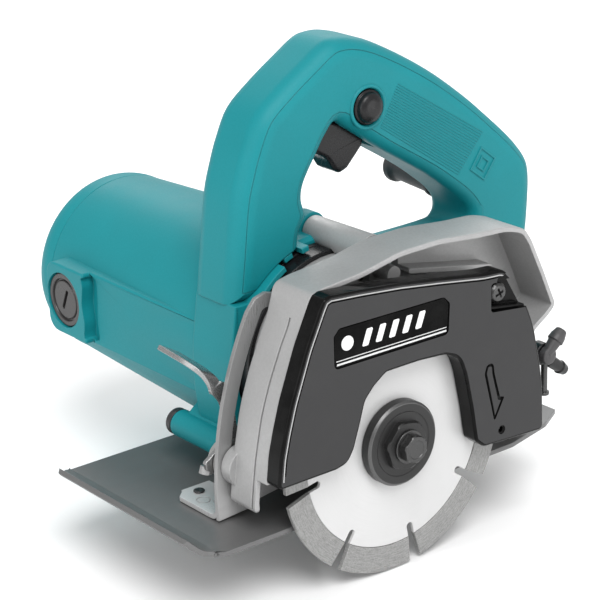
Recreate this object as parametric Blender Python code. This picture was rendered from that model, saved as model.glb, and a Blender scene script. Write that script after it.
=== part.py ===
"""Hand-held 110 mm disc saw with a D-handle, modelled as separate pieces.

Lengths are in metres. +X is the cutting direction, +Y the blade's outer side, +Z up. The world origin lies on
the underside of the base plate. Outlines are given in millimetres as (x, z) pairs measured from the spindle's
axis, and depths as y measured from the blade's middle plane; mm() turns them into metres. Every piece is
parented to an empty on the axis that its body turns on.
"""

import math

import bmesh
import bpy
from mathutils import Vector

# Driving dimensions, in millimetres
SPINDLE_HEIGHT = 24.5
BLADE_TO_ORIGIN = 54.0
GAP = 0.3
BLADE_RADIUS = 55.0
CORE_RADIUS = 44.0
SEGMENT_COUNT = 8
SEGMENT_PHASE = 35.0
SEGMENT_THICKNESS = 2.0
CORE_THICKNESS = 1.4
BLADE_BORE = 10.0
FLANGE_RADIUS = 17.4
SHAFT_RADIUS = 4.0
MOTOR_AXIS = (-3.0, 25.0)
MOTOR_FRONT = -50.0
MOTOR_REAR = -185.0
MOTOR_RADIUS = 45.8
MOTOR_END_RADIUS = 40.8
MOTOR_WALL = 3.0
GEAR_TEETH = (28, 14)
BACKLASH = 0.16
CASE_BACK = -21.0
CASE_WALL = 3.0
CASE_FLOOR = -17.0
GEAR_HOUSING_REAR = -46.7
HANDLE_FAR = -75.0
HANDLE_NEAR = -45.0
HANDLE_SEAM = -48.9
HANDLE_WALL = 3.0
BASE_PIVOT = (-82.0, -12.0)
BASE_TOP = -22.5
BASE_THICKNESS = 2.0
CLAMP_AXIS = (58.5, 0.0)
SLOT_RADIUS = 141.0
SLOT_HALF = 3.3
TRIGGER_PIVOT = (-7.0, 112.5)
LOCK_AXIS = (-28.0, 120.0)
COCK_AXIS = (-90.0, 9.0)
CORD_AXIS = (-93.0, 70.0)
COVER_SCREW_AXIS = (-50.0, 50.0)
BRUSH_Y = -166.0
BRUSH_Z = 24.5
ROUND = 40


def mm(value):
    """Millimetres to metres."""
    return value * 0.001


# ---------------------------------------------------------------- outlines

def arc(centre, radius, start, end, steps):
    """Points of a circular arc, angles in degrees from +x towards +z."""
    points = []
    for step in range(steps + 1):
        angle = math.radians(start + (end - start) * step / steps)
        points.append((centre[0] + radius * math.cos(angle), centre[1] + radius * math.sin(angle)))
    return points


def circle(centre, radius, steps=ROUND):
    """A full circle without a doubled end point."""
    return arc(centre, radius, 0.0, 360.0, steps)[:-1]


def signed_area(points):
    """Twice the signed area of a closed outline."""
    total = 0.0
    for (x0, z0), (x1, z1) in zip(points, points[1:] + points[:1]):
        total += x0 * z1 - x1 * z0
    return total


def offset(points, distance):
    """Moves every side of a closed outline inwards by distance (outwards if negative)."""
    turn = 1.0 if signed_area(points) > 0 else -1.0
    count = len(points)
    moved = []
    for index in range(count):
        before = Vector(points[index - 1])
        here = Vector(points[index])
        after = Vector(points[(index + 1) % count])
        first = (here - before).normalized()
        second = (after - here).normalized()
        normal_a = Vector((-first.y, first.x)) * turn
        normal_b = Vector((-second.y, second.x)) * turn
        bisector = (normal_a + normal_b).normalized()
        reach = distance / max(0.35, bisector.dot(normal_a))
        moved.append(tuple(here + bisector * reach))
    return moved


def box_outline(x0, x1, z0, z1):
    """A rectangle."""
    return [(x0, z0), (x1, z0), (x1, z1), (x0, z1)]


# ---------------------------------------------------------------- solids

def new_object(name, mesh_builder, parent):
    """Links a mesh as an object with outward normals, under its axis empty."""
    bmesh.ops.recalc_face_normals(mesh_builder, faces=mesh_builder.faces)
    if mesh_builder.calc_volume(signed=True) < 0.0:
        bmesh.ops.reverse_faces(mesh_builder, faces=mesh_builder.faces)
    mesh = bpy.data.meshes.new(name)
    mesh_builder.to_mesh(mesh)
    mesh_builder.free()
    item = bpy.data.objects.new(name, mesh)
    bpy.context.collection.objects.link(item)
    item.parent = parent
    mesh.shade_smooth()
    mesh.set_sharp_from_angle(angle=math.radians(30.0))
    return item


def local(parent, x, y, z):
    """A point given from the spindle's axis and the blade's middle plane, in the parent empty's frame."""
    spindle = Vector((0.0, mm(BLADE_TO_ORIGIN), mm(SPINDLE_HEIGHT)))
    return Vector((mm(x), mm(y), mm(z))) + spindle - parent.location


def split_caps(build):
    """Triangulates the many-sided end faces."""
    build.normal_update()
    bmesh.ops.triangulate(build, faces=[face for face in build.faces if len(face.verts) > 4])


def prism(name, parent, outline, y0, y1):
    """An (x, z) outline extruded from y0 to y1."""
    build = bmesh.new()
    rings = []
    for y in (y0, y1):
        rings.append([build.verts.new(local(parent, x, y, z)) for x, z in outline])
    build.faces.new(rings[0])
    build.faces.new(rings[1])
    count = len(outline)
    for index in range(count):
        after = (index + 1) % count
        build.faces.new((rings[0][index], rings[0][after], rings[1][after], rings[1][index]))
    split_caps(build)
    return new_object(name, build, parent)


def stack(name, parent, centre, stations, steps=ROUND, axis="Y", closed=False):
    """Rings of a turned or prismatic piece, bridged in order.

    A station is (position along the axis, radius), and the radius may be a function of the angle in degrees.
    The ends are capped, or joined to each other for a tube. For axis Y the centre is (x, z), for X it
    is (y, z).
    """
    build = bmesh.new()
    rings = []
    for along, radius in stations:
        ring = []
        for step in range(steps):
            degrees = 360.0 * step / steps
            reach = radius(degrees) if callable(radius) else radius
            side = reach * math.cos(math.radians(degrees))
            rise = reach * math.sin(math.radians(degrees))
            if axis == "Y":
                point = local(parent, centre[0] + side, along, centre[1] + rise)
            else:
                point = local(parent, along, centre[0] + side, centre[1] + rise)
            ring.append(build.verts.new(point))
        rings.append(ring)
    pairs = list(zip(rings, rings[1:]))
    if closed:
        pairs.append((rings[-1], rings[0]))
    else:
        build.faces.new(rings[0])
        build.faces.new(rings[-1])
    for first, second in pairs:
        for index in range(steps):
            after = (index + 1) % steps
            build.faces.new((first[index], first[after], second[after], second[index]))
    split_caps(build)
    return new_object(name, build, parent)


def block(name, parent, x, y, z):
    """A box between pairs of limits."""
    return prism(name, parent, box_outline(x[0], x[1], z[0], z[1]), y[0], y[1])


def ribbon(name, parent, path, width, half_width, thickness):
    """A flat bent strip along a path, its width lying along a fixed direction."""
    build = bmesh.new()
    across = Vector(width).normalized()
    points = [Vector(point) for point in path]
    rings = []
    for index, point in enumerate(points):
        before = points[max(0, index - 1)]
        after = points[min(len(points) - 1, index + 1)]
        tangent = (after - before).normalized()
        up = tangent.cross(across).normalized()
        ring = []
        for side, lift in ((-1, -1), (1, -1), (1, 1), (-1, 1)):
            corner = point + across * (side * half_width) + up * (lift * thickness / 2.0)
            ring.append(build.verts.new(local(parent, *corner)))
        rings.append(ring)
    build.faces.new(rings[0])
    build.faces.new(rings[-1])
    for first, second in zip(rings, rings[1:]):
        for index in range(4):
            after = (index + 1) % 4
            build.faces.new((first[index], first[after], second[after], second[index]))
    return new_object(name, build, parent)


def boolean(target, tool, operation):
    """Adds an exact Boolean and hides its tool."""
    tool.hide_render = True
    tool.display_type = "WIRE"
    modifier = target.modifiers.new(tool.name, "BOOLEAN")
    modifier.operation = operation
    modifier.solver = "EXACT"
    modifier.object = tool
    return target


def cut(target, tool):
    return boolean(target, tool, "DIFFERENCE")


def add(target, tool):
    return boolean(target, tool, "UNION")


def drill(target, centre, radius, y0, y1, steps=20, axis="Y"):
    """A round hole through a piece."""
    stations = [(y0, radius), (y1, radius)]
    name = f"cut_{target.name}_{len(target.modifiers)}"
    return cut(target, stack(name, target.parent, centre, stations, steps, axis))


def boss(target, centre, radius, y0, y1, steps=24, axis="Y"):
    """A round boss joined to a piece."""
    stations = [(y0, radius), (y1, radius)]
    name = f"add_{target.name}_{len(target.modifiers)}"
    return add(target, stack(name, target.parent, centre, stations, steps, axis))


def paint(item, colour, roughness, metallic=0.0):
    """One Principled material for each piece."""
    material = bpy.data.materials.new(item.name)
    material.use_nodes = True
    shader = material.node_tree.nodes["Principled BSDF"]
    shader.inputs["Base Color"].default_value = (*colour, 1.0)
    shader.inputs["Roughness"].default_value = roughness
    shader.inputs["Metallic"].default_value = metallic
    material.diffuse_color = (*colour, 1.0)
    item.data.materials.clear()
    item.data.materials.append(material)
    return item


TEAL = (0.02, 0.29, 0.32)
BLACK = (0.02, 0.02, 0.022)
SILVER = (0.5, 0.5, 0.5)
STEEL = (0.42, 0.42, 0.43)
WHITE_STEEL = (0.82, 0.83, 0.84)
COPPER = (0.55, 0.22, 0.09)


def teal(item):
    return paint(item, TEAL, 0.42)


def black(item):
    return paint(item, BLACK, 0.4)


def cast(item):
    return paint(item, SILVER, 0.5, 0.7)


def steel(item):
    return paint(item, STEEL, 0.32, 1.0)


# ---------------------------------------------------------------- axes

def axis_empty(name, centre, y=0.0):
    """An empty on an axis, given as (x, z) from the spindle."""
    empty = bpy.data.objects.new(name, None)
    bpy.context.collection.objects.link(empty)
    empty.location = (mm(centre[0]), mm(y + BLADE_TO_ORIGIN), mm(centre[1] + SPINDLE_HEIGHT))
    return empty


# ---------------------------------------------------------------- blade body

def hexagon(across_flats):
    """Radius of a hexagon as a function of the angle."""
    def radius(degrees):
        return across_flats / 2.0 / math.cos(math.radians((degrees + 30.0) % 60.0 - 30.0))
    return radius


def segment_gap(index):
    """Angle of the middle of the slot before a segment."""
    return SEGMENT_PHASE + 360.0 * index / SEGMENT_COUNT


def blade_core(parent):
    outline = []
    half_slot = 1.6
    slot_floor = 40.0
    for index in range(SEGMENT_COUNT):
        middle = segment_gap(index)
        across = math.degrees(half_slot / CORE_RADIUS)
        direction = Vector((math.cos(math.radians(middle)), math.sin(math.radians(middle))))
        floor_centre = tuple(direction * slot_floor)
        outline += arc(floor_centre, half_slot, middle - 90.0, middle - 270.0, 4)
        outline += arc((0.0, 0.0), CORE_RADIUS, middle + across, middle + 45.0 - across, 5)
    thickness = CORE_THICKNESS / 2.0
    core = prism("blade_core", parent, outline, -thickness, thickness)
    drill(core, (0.0, 0.0), BLADE_BORE, -2.0, 2.0, 32)
    return paint(core, WHITE_STEEL, 0.35, 0.6)


def blade_segment(parent, index):
    start = segment_gap(index)
    inner = CORE_RADIUS + GAP
    near = math.degrees(1.6 / inner)
    far = math.degrees(3.0 / BLADE_RADIUS)
    outline = arc((0.0, 0.0), BLADE_RADIUS, start + far, start + 45.0 - far, 6)
    outline += arc((0.0, 0.0), inner, start + 45.0 - near, start + near, 5)
    half = SEGMENT_THICKNESS / 2.0
    segment = prism(f"blade_segment_{index + 1}", parent, outline, -half, half)
    return paint(segment, (0.3, 0.3, 0.3), 0.7, 0.4)


def outer_flange(parent):
    hub = hexagon(18.0)
    stations = [(1.0, FLANGE_RADIUS), (3.6, FLANGE_RADIUS), (4.7, 15.8), (4.7, hub), (7.5, hub), (7.5, 4.3),
                (1.0, 4.3)]
    flange = stack("outer_flange", parent, (0, 0), stations, 30, closed=True)
    return paint(flange, (0.05, 0.05, 0.05), 0.35, 0.8)


def inner_flange(parent):
    stations = [(0.6, 9.6), (-1.0, 9.6), (-1.0, FLANGE_RADIUS), (-5.0, FLANGE_RADIUS)]
    stations += [(-5.0, 8.0), (-8.7, 8.0), (-8.7, 6.3), (0.6, 6.3)]
    return steel(stack("inner_flange", parent, (0, 0), stations, 24, closed=True))


def washer(parent):
    stations = [(7.8, 6.8), (9.0, 6.8), (9.0, 4.3), (7.8, 4.3)]
    return steel(stack("washer", parent, (0, 0), stations, 24, closed=True))


def hex_bolt(parent):
    head = hexagon(10.0)
    stations = [(-12.0, 3.7), (9.3, 3.7), (9.3, head), (12.6, head), (13.2, 4.4)]
    return steel(stack("hex_bolt", parent, (0, 0), stations, 24))


def spindle(parent):
    stations = [(0.4, 4.2), (0.4, 5.9), (-36.0, 5.9), (-36.0, 3.4), (-44.0, 3.4), (-44.0, 0.8), (-12.6, 0.8),
                (-12.6, 4.2)]
    return steel(stack("spindle", parent, (0, 0), stations, 24, closed=True))


def involute(base_radius, radius):
    """Involute angle, in degrees, at a radius."""
    if radius <= base_radius:
        return 0.0
    pressure = math.acos(base_radius / radius)
    return math.degrees(math.tan(pressure) - pressure)


def gear_outline(centre, teeth, module, phase, addendum):
    """Involute teeth, the first one centred on the angle phase."""
    pitch = module * teeth / 2.0
    base = pitch * math.cos(math.radians(20.0))
    root = pitch - 1.25 * module
    tip = pitch + addendum
    half_at_pitch = 90.0 / teeth - math.degrees(BACKLASH / 2.0 / pitch)
    half_at_base = half_at_pitch + involute(base, pitch)
    flank = [root, base + 0.35 * (tip - base), tip]
    points = []
    for tooth in range(teeth):
        middle = phase + 360.0 * tooth / teeth
        sides = [(radius, half_at_base - involute(base, radius)) for radius in flank]
        for radius, half in sides:
            points.append((radius, middle - half))
        for radius, half in reversed(sides):
            points.append((radius, middle + half))
    return [
        (centre[0] + r * math.cos(math.radians(a)), centre[1] + r * math.sin(math.radians(a)))
        for r, a in points
    ]


def gear_pair(blade_axis, armature_axis):
    """The driven gear on the spindle and the pinion that meshes with it."""
    teeth, pinion_teeth = GEAR_TEETH
    distance = math.hypot(*MOTOR_AXIS)
    module = 2.0 * distance / (teeth + pinion_teeth)
    towards = math.degrees(math.atan2(MOTOR_AXIS[1], MOTOR_AXIS[0]))
    outline = gear_outline((0.0, 0.0), teeth, module, towards, 0.92 * module)
    driven = prism("driven_gear", blade_axis, outline, -35.0, -27.0)
    steel(drill(driven, (0.0, 0.0), 6.2, -40.0, -20.0))
    half_pitch = 180.0 / pinion_teeth
    outline = gear_outline(MOTOR_AXIS, pinion_teeth, module, towards + 180.0 + half_pitch, 0.92 * module)
    pinion = prism("pinion", armature_axis, outline, -37.0, -26.0)
    steel(drill(pinion, MOTOR_AXIS, SHAFT_RADIUS + GAP, -45.0, -20.0))


def build_blade_body(blade_axis):
    blade_core(blade_axis)
    for index in range(SEGMENT_COUNT):
        blade_segment(blade_axis, index)
    outer_flange(blade_axis)
    inner_flange(blade_axis)
    washer(blade_axis)
    hex_bolt(blade_axis)
    spindle(blade_axis)


# ---------------------------------------------------------------- armature body

def slotted(outer, inner, count, fill):
    """Radius of a ring with slots, as a function of the angle."""
    def radius(degrees):
        return outer if (degrees * count / 360.0 + fill / 2.0) % 1.0 < fill else inner
    return radius


def build_armature_body(axis):
    shaft = [(-23.5, 3.6), (-24.0, SHAFT_RADIUS), (-194.0, SHAFT_RADIUS), (-194.6, 3.6)]
    steel(stack("armature_shaft", axis, MOTOR_AXIS, shaft, 20))
    bore = SHAFT_RADIUS + GAP
    teeth = slotted(21.5, 18.0, 12, 0.6)
    core = [(-128.0, teeth), (-80.0, teeth), (-80.0, bore), (-128.0, bore)]
    paint(stack("armature_core", axis, MOTOR_AXIS, core, 48, closed=True), STEEL, 0.6, 0.6)
    bars = [(-176.0, 12.0), (-156.0, 12.0), (-156.0, bore), (-176.0, bore)]
    paint(stack("commutator", axis, MOTOR_AXIS, bars, 24, closed=True), COPPER, 0.35, 0.9)
    paddles = slotted(34.0, 12.0, 9, 0.5)
    fan = [(-72.0, 34.0), (-70.0, 34.0), (-70.0, paddles), (-63.0, paddles), (-63.0, bore), (-72.0, bore)]
    paint(stack("fan", axis, MOTOR_AXIS, fan, 36, closed=True), (0.08, 0.08, 0.08), 0.6)


# ---------------------------------------------------------------- motor

def handle_outline():
    """Outer outline of the D-handle, from the front leg over the grip to the rear leg and the lower bar."""
    front_leg = [(41.0, 30.0), (41.0, 52.0), (38.6, 72.0), (36.0, 92.7), (33.0, 103.5), (28.5, 114.8)]
    nose = [(23.7, 124.8), (11.0, 135.0), (-9.6, 147.4)]
    top = [(-16.5, 149.0), (-24.4, 148.1), (-35.5, 144.2), (-52.5, 135.2), (-85.6, 112.3), (-107.4, 93.3)]
    rear_leg = [(-117.9, 81.8), (-120.6, 75.5), (-121.0, 70.0)]
    rear_leg += [(-119.8, 50.4), (-117.0, 38.0), (-108.0, 30.0)]
    return front_leg + nose + top + rear_leg


def loop_outline():
    """Outline of the hand opening."""
    front = [(-2.0, 57.0), (-1.5, 76.0), (-0.3, 82.8), (3.4, 90.0)]
    front += [(0.5, 99.0), (-7.5, 111.4), (-12.2, 117.4)]
    under = [(-24.0, 109.3), (-38.8, 99.1), (-62.2, 84.1), (-80.9, 68.8), (-85.6, 62.0), (-86.0, 57.0)]
    return front + under


def handle_cover_outline():
    """Outline of the near half: the legs and the grip, without the bar."""
    outline = offset(handle_outline(), 4.0)
    return [(35.5, 59.0)] + outline[2:-3] + [(-115.5, 52.0), (-90.5, 52.0)]


def front_screw_axes():
    """Axes of the screws that hold the motor to the gear housing."""
    return {"front": (43.0, -6.6), "top": (-9.0, 70.5), "rear": (-47.0, -3.0)}


def screw_lug(target, centre, radius, y0, y1):
    """A screw boss with a web that reaches back towards the motor's axis."""
    reach = Vector(MOTOR_AXIS) - Vector(centre)
    direction = math.degrees(math.atan2(reach.y, reach.x))
    root_point = Vector(centre) + reach.normalized() * (reach.length - 32.0)
    outline = arc(centre, radius, direction + 90.0, direction + 270.0, 8)
    outline += arc(tuple(root_point), radius + 4.0, direction - 90.0, direction + 90.0, 2)
    name = f"add_lug_{target.name}_{len(target.modifiers)}"
    return add(target, prism(name, target.parent, outline, y0, y1))


def motor_housing(root):
    profile = [(MOTOR_FRONT, 44.5), (MOTOR_FRONT - 3.0, MOTOR_RADIUS), (MOTOR_FRONT - 10.0, MOTOR_RADIUS),
               (MOTOR_REAR, MOTOR_END_RADIUS)]
    housing = stack("motor_housing", root, MOTOR_AXIS, profile, 40)
    handle = prism("add_handle", root, handle_outline(), HANDLE_FAR, HANDLE_SEAM - GAP / 2.0)
    cut(handle, prism("cut_loop", root, loop_outline(), HANDLE_FAR - 5.0, HANDLE_NEAR))
    add(housing, handle)
    axes = front_screw_axes()
    screw_lug(housing, axes["front"], 6.0, -83.0, MOTOR_FRONT)
    screw_lug(housing, axes["rear"], 6.0, -83.0, MOTOR_FRONT)
    screw_lug(housing, axes["top"], 7.0, -66.0, -58.3)
    for name, near, far in (("front", 20.0, 44.0), ("rear", -50.0, -26.0)):
        brush_boss = block(f"add_brush_boss_{name}", root, (near, far), (-176.0, -150.0), (9.0, 39.0))
        add(housing, brush_boss)
    inner = offset(handle_outline(), HANDLE_WALL)
    pocket = prism("cut_pocket", root, inner, HANDLE_FAR + HANDLE_WALL, HANDLE_NEAR)
    cut(pocket, prism("cut_pocket_loop", root, offset(loop_outline(), -HANDLE_WALL), -80.0, -40.0))
    cut(pocket, stack("cut_pocket_motor", root, MOTOR_AXIS, [(-80.0, 48.0), (-40.0, 48.0)], 40))
    cut(pocket, block("cut_pocket_bar", root, (-140.0, 60.0), (-80.0, -40.0), (0.0, 58.0)))
    cut(housing, pocket)
    cavity = [(MOTOR_FRONT + 5.0, MOTOR_RADIUS - MOTOR_WALL), (MOTOR_FRONT - 10.0, MOTOR_RADIUS - MOTOR_WALL),
              (MOTOR_REAR - 5.0, MOTOR_END_RADIUS - MOTOR_WALL)]
    cut(housing, stack("cut_motor", root, MOTOR_AXIS, cavity, 40))
    drill(housing, (BRUSH_Y, BRUSH_Z), 9.8, 30.0, 50.0, 20, "X")
    drill(housing, (BRUSH_Y, BRUSH_Z), 9.8, -56.0, -36.0, 20, "X")
    drill(housing, axes["front"], 2.5, -90.0, -40.0, 8)
    drill(housing, axes["rear"], 2.5, -90.0, -40.0, 8)
    drill(housing, axes["top"], 6.4, -58.3, -45.0, 16)
    drill(housing, axes["top"], 2.5, -66.0, -50.0, 8)
    drill(housing, axes["top"], 3.4, -66.3, -63.0, 8)
    drill(housing, TRIGGER_PIVOT, 2.6, -71.9, -60.0, 10)
    slot = [(-5.0, 103.5), (-1.0, 113.0), (-11.0, 124.0), (-39.5, 104.5), (-35.0, 98.0), (-14.0, 110.5)]
    cut(housing, prism("cut_trigger_slot", root, slot, -67.5, -40.0))
    drill(housing, CORD_AXIS, 5.0, -80.0, -70.0, 12)
    return teal(housing)


def rear_end_cap(root):
    front = MOTOR_REAR - GAP
    profile = [(-199.0, 15.0), (-198.0, 29.0), (-193.5, 38.6), (front, MOTOR_END_RADIUS), (front, 37.4),
               (-193.0, 35.2), (-195.8, 27.0), (-195.8, 14.5), (-186.5, 14.5), (-186.5, 11.3), (-195.8, 11.3)]
    cap = stack("rear_end_cap", root, MOTOR_AXIS, profile, 32)
    for index in range(8):
        angle = math.radians(22.5 + 45.0 * index)
        centre = (MOTOR_AXIS[0] + 21.0 * math.cos(angle), MOTOR_AXIS[1] + 21.0 * math.sin(angle))
        drill(cap, centre, 3.4, -205.0, -193.0, 8)
    return teal(cap)


def stator(root):
    """The laminated ring with two poles, and the windings in its two windows."""
    def bore(degrees):
        from_pole = abs((degrees + 90.0) % 180.0 - 90.0)
        return 22.3 if from_pole < 52.0 else 30.0
    ring = [(-128.0, 36.5), (-80.0, 36.5), (-80.0, bore), (-128.0, bore)]
    paint(stack("stator_core", root, MOTOR_AXIS, ring, 40, closed=True), STEEL, 0.6, 0.6)
    for name, middle in (("field_coil_upper", 90.0), ("field_coil_lower", 270.0)):
        outline = arc(MOTOR_AXIS, 29.2, middle - 30.0, middle + 30.0, 8)
        outline += arc(MOTOR_AXIS, 23.0, middle + 30.0, middle - 30.0, 8)
        paint(prism(name, root, outline, -137.0, -76.0), COPPER, 0.5, 0.5)


def brushes(root):
    """Brush holder, carbon brush and screw cap on both sides of the commutator."""
    commutator_radius = 12.0
    for name, side in (("front", 1.0), ("rear", -1.0)):
        def along(distance):
            return MOTOR_AXIS[0] + side * distance
        def span(near, far):
            return tuple(sorted((along(near), along(far))))
        holder_y = (BRUSH_Y - 6.0, BRUSH_Y + 6.0)
        holder = block(f"brush_holder_{name}", root, span(14.0, 37.0), holder_y, (19.0, 30.0))
        inside_y = (BRUSH_Y - 4.0, BRUSH_Y + 4.0)
        inside = block(f"cut_brush_{name}", root, span(10.0, 45.0), inside_y, (21.0, 28.0))
        paint(cut(holder, inside), (0.5, 0.4, 0.15), 0.4, 0.9)
        brush = block(f"carbon_brush_{name}", root, span(commutator_radius + 0.3, 30.0),
                      (BRUSH_Y - 3.7, BRUSH_Y + 3.7), (21.3, 27.7))
        paint(brush, (0.03, 0.03, 0.03), 0.8)
        cap_stations = [(along(38.0), 9.5), (along(44.5), 9.5)]
        cap = stack(f"brush_cap_{name}", root, (BRUSH_Y, BRUSH_Z), cap_stations, 28, "X")
        groove = block(f"cut_cap_{name}", root, span(43.2, 47.0), (BRUSH_Y - 12.0, BRUSH_Y + 12.0),
                       (BRUSH_Z - 1.1, BRUSH_Z + 1.1))
        black(cut(cap, groove))


def ball_bearing(name, root, centre, outer, inner, y0, y1):
    """A bearing as one ring with a shield groove on its near face."""
    middle = (outer + inner) / 2.0
    stations = [(y0, outer), (y1, outer), (y1, middle + 1.0), (y1 - 0.5, middle), (y1, inner), (y0, inner)]
    return paint(stack(name, root, centre, stations, 16, closed=True), (0.5, 0.5, 0.52), 0.25, 1.0)


def bearings(root):
    ball_bearing("spindle_bearing_front", root, (0, 0), 16.0, 6.2, -18.7, -9.0)
    ball_bearing("spindle_bearing_rear", root, (0, 0), 9.5, 3.7, -43.9, -37.9)
    ball_bearing("armature_bearing_front", root, MOTOR_AXIS, 13.0, SHAFT_RADIUS + GAP, -55.5, -47.5)
    ball_bearing("armature_bearing_rear", root, MOTOR_AXIS, 11.0, SHAFT_RADIUS + GAP, -195.4, -188.4)


def housing_screws(root):
    for name, centre in front_screw_axes().items():
        head, radius = (-63.3, 3.0) if name == "top" else (-83.3, 5.4)
        stations = [(-30.0, 2.2), (head, 2.2), (head, radius), (head - 0.45 * radius, radius),
                    (head - 0.8 * radius, 0.7 * radius)]
        steel(stack(f"housing_screw_{name}", root, centre, stations, 16))


# ---------------------------------------------------------------- handle

def handle_cover(root):
    cover = prism("handle_cover", root, handle_cover_outline(), HANDLE_SEAM + GAP / 2.0, HANDLE_NEAR)
    cut(cover, prism("cut_cover_loop", root, offset(loop_outline(), -4.0), -60.0, -40.0))
    cut(cover, block("cut_cover_bar", root, (-86.5, 0.0), (-60.0, -40.0), (40.0, 66.0)))
    drill(cover, MOTOR_AXIS, 43.6, -60.0, -40.0, 48)
    drill(cover, front_screw_axes()["top"], 6.6, -60.0, -40.0, 20)
    drill(cover, LOCK_AXIS, 7.4, -60.0, -40.0, 24)
    cut(cover, prism("cut_cover_slot", root, trigger_clearance(), -67.5, -40.0))
    return teal(cover)


def trigger_clearance():
    """Opening in the cover that lets the trigger swing up."""
    return [(-11.0, 112.0), (-11.0, 118.0), (-34.0, 106.5), (-34.0, 98.0)]


def trigger(axis):
    outline = arc(TRIGGER_PIVOT, 4.0, 20.0, 150.0, 4)
    outline += [(-20.0, 114.0), (-33.0, 105.6), (-32.9, 102.0), (-24.8, 93.6), (-22.2, 92.3), (-18.6, 93.3)]
    outline += [(-19.2, 95.4), (-14.6, 99.3), (-9.6, 102.4), (-6.5, 108.4)]
    piece = prism("trigger", axis, outline, -67.0, -54.0)
    black(boss(piece, TRIGGER_PIVOT, 2.2, -71.5, -49.6, 16))


def lock_button(axis):
    stations = [(-50.6, 8.6), (-49.4, 8.6), (-49.4, 7.0), (-42.6, 7.0), (-41.2, 5.4), (-40.6, 2.4)]
    black(stack("lock_button", axis, LOCK_AXIS, stations, 24))


def switch_body(root):
    """The switch lies along the grip, behind the trigger."""
    slope = math.radians(35.0)
    centre = Vector((-58.0, 112.0))
    along = Vector((math.cos(slope), math.sin(slope)))
    across = Vector((-along.y, along.x))
    corners = [(-16.0, -8.5), (16.0, -8.5), (16.0, 8.5), (-16.0, 8.5)]
    outline = [tuple(centre + along * a + across * b) for a, b in corners]
    return paint(prism("switch_body", root, outline, -69.0, -51.0), (0.1, 0.1, 0.1), 0.5)


def cord_guard(root):
    """A rubber sleeve that plugs into the far wall of the handle's rear leg."""
    guard = [(-71.6, 7.0), (-71.6, 4.7), (-75.3, 4.7), (-75.3, 8.2), (-79.0, 7.4), (-101.0, 5.6)]
    guard += [(-101.5, 6.8), (-105.0, 6.8), (-105.0, 3.9), (-68.0, 3.9), (-68.0, 7.0)]
    paint(stack("cord_guard", root, CORD_AXIS, guard, 16, closed=True), (0.06, 0.06, 0.065), 0.7)


# ---------------------------------------------------------------- gear housing and blade case

def gear_housing(root):
    front = CASE_BACK - GAP
    axes = front_screw_axes()
    housing = stack("gear_housing", root, MOTOR_AXIS, [(GEAR_HOUSING_REAR, 41.0), (front, 41.0)], 36)
    boss(housing, (0.0, 0.0), 20.6, GEAR_HOUSING_REAR, front, 28)
    boss(housing, MOTOR_AXIS, 15.6, -57.0, -40.0, 24)
    screw_lug(housing, axes["front"], 5.3, GEAR_HOUSING_REAR, front)
    screw_lug(housing, axes["rear"], 6.0, GEAR_HOUSING_REAR, front)
    boss(housing, axes["top"], 6.0, -58.0, front, 16)
    cavity = stack("cut_gear_cavity", root, MOTOR_AXIS, [(-43.5, 38.0), (-10.0, 38.0)], 36)
    cut(cavity, stack("keep_rear_seat", root, (0, 0), [(-50.0, 12.0), (-36.0, 12.0)], 20))
    cut(housing, cavity)
    drill(housing, (0.0, 0.0), 18.9, -36.5, -10.0, 28)
    drill(housing, (0.0, 0.0), 9.8, -44.5, -30.0, 20)
    drill(housing, MOTOR_AXIS, 13.3, -60.0, -47.2, 24)
    drill(housing, MOTOR_AXIS, 6.0, -60.0, -30.0, 16)
    for centre in axes.values():
        drill(housing, centre, 2.5, -60.0, -27.0, 8)
    return cast(housing)


def baffle_plate(root):
    plate = stack("baffle_plate", root, MOTOR_AXIS, [(-49.7, 42.4), (-47.0, 42.4)], 48)
    drill(plate, MOTOR_AXIS, 16.0, -60.0, -40.0, 32)
    drill(plate, front_screw_axes()["top"], 6.4, -60.0, -40.0, 20)
    return black(plate)


def case_front():
    """Front of the blade case, from its lower corner up to the crease."""
    return [(65.0, -11.5), (63.5, 0.0), (60.2, 20.0), (57.4, 29.0), (49.0, 49.0), (44.3, 57.6), (40.3, 69.4)]


def case_top():
    """Top of the blade case, from the crease to the rear tip."""
    crown = [(34.0, 71.0), (16.0, 72.8), (-3.8, 76.4), (-24.0, 76.4), (-45.0, 74.0), (-58.6, 73.3)]
    rear = [(-66.8, 71.0), (-72.3, 65.5), (-79.7, 51.0), (-86.2, 34.3), (-83.9, 31.8), (-75.5, 28.0)]
    return crown + rear


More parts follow.
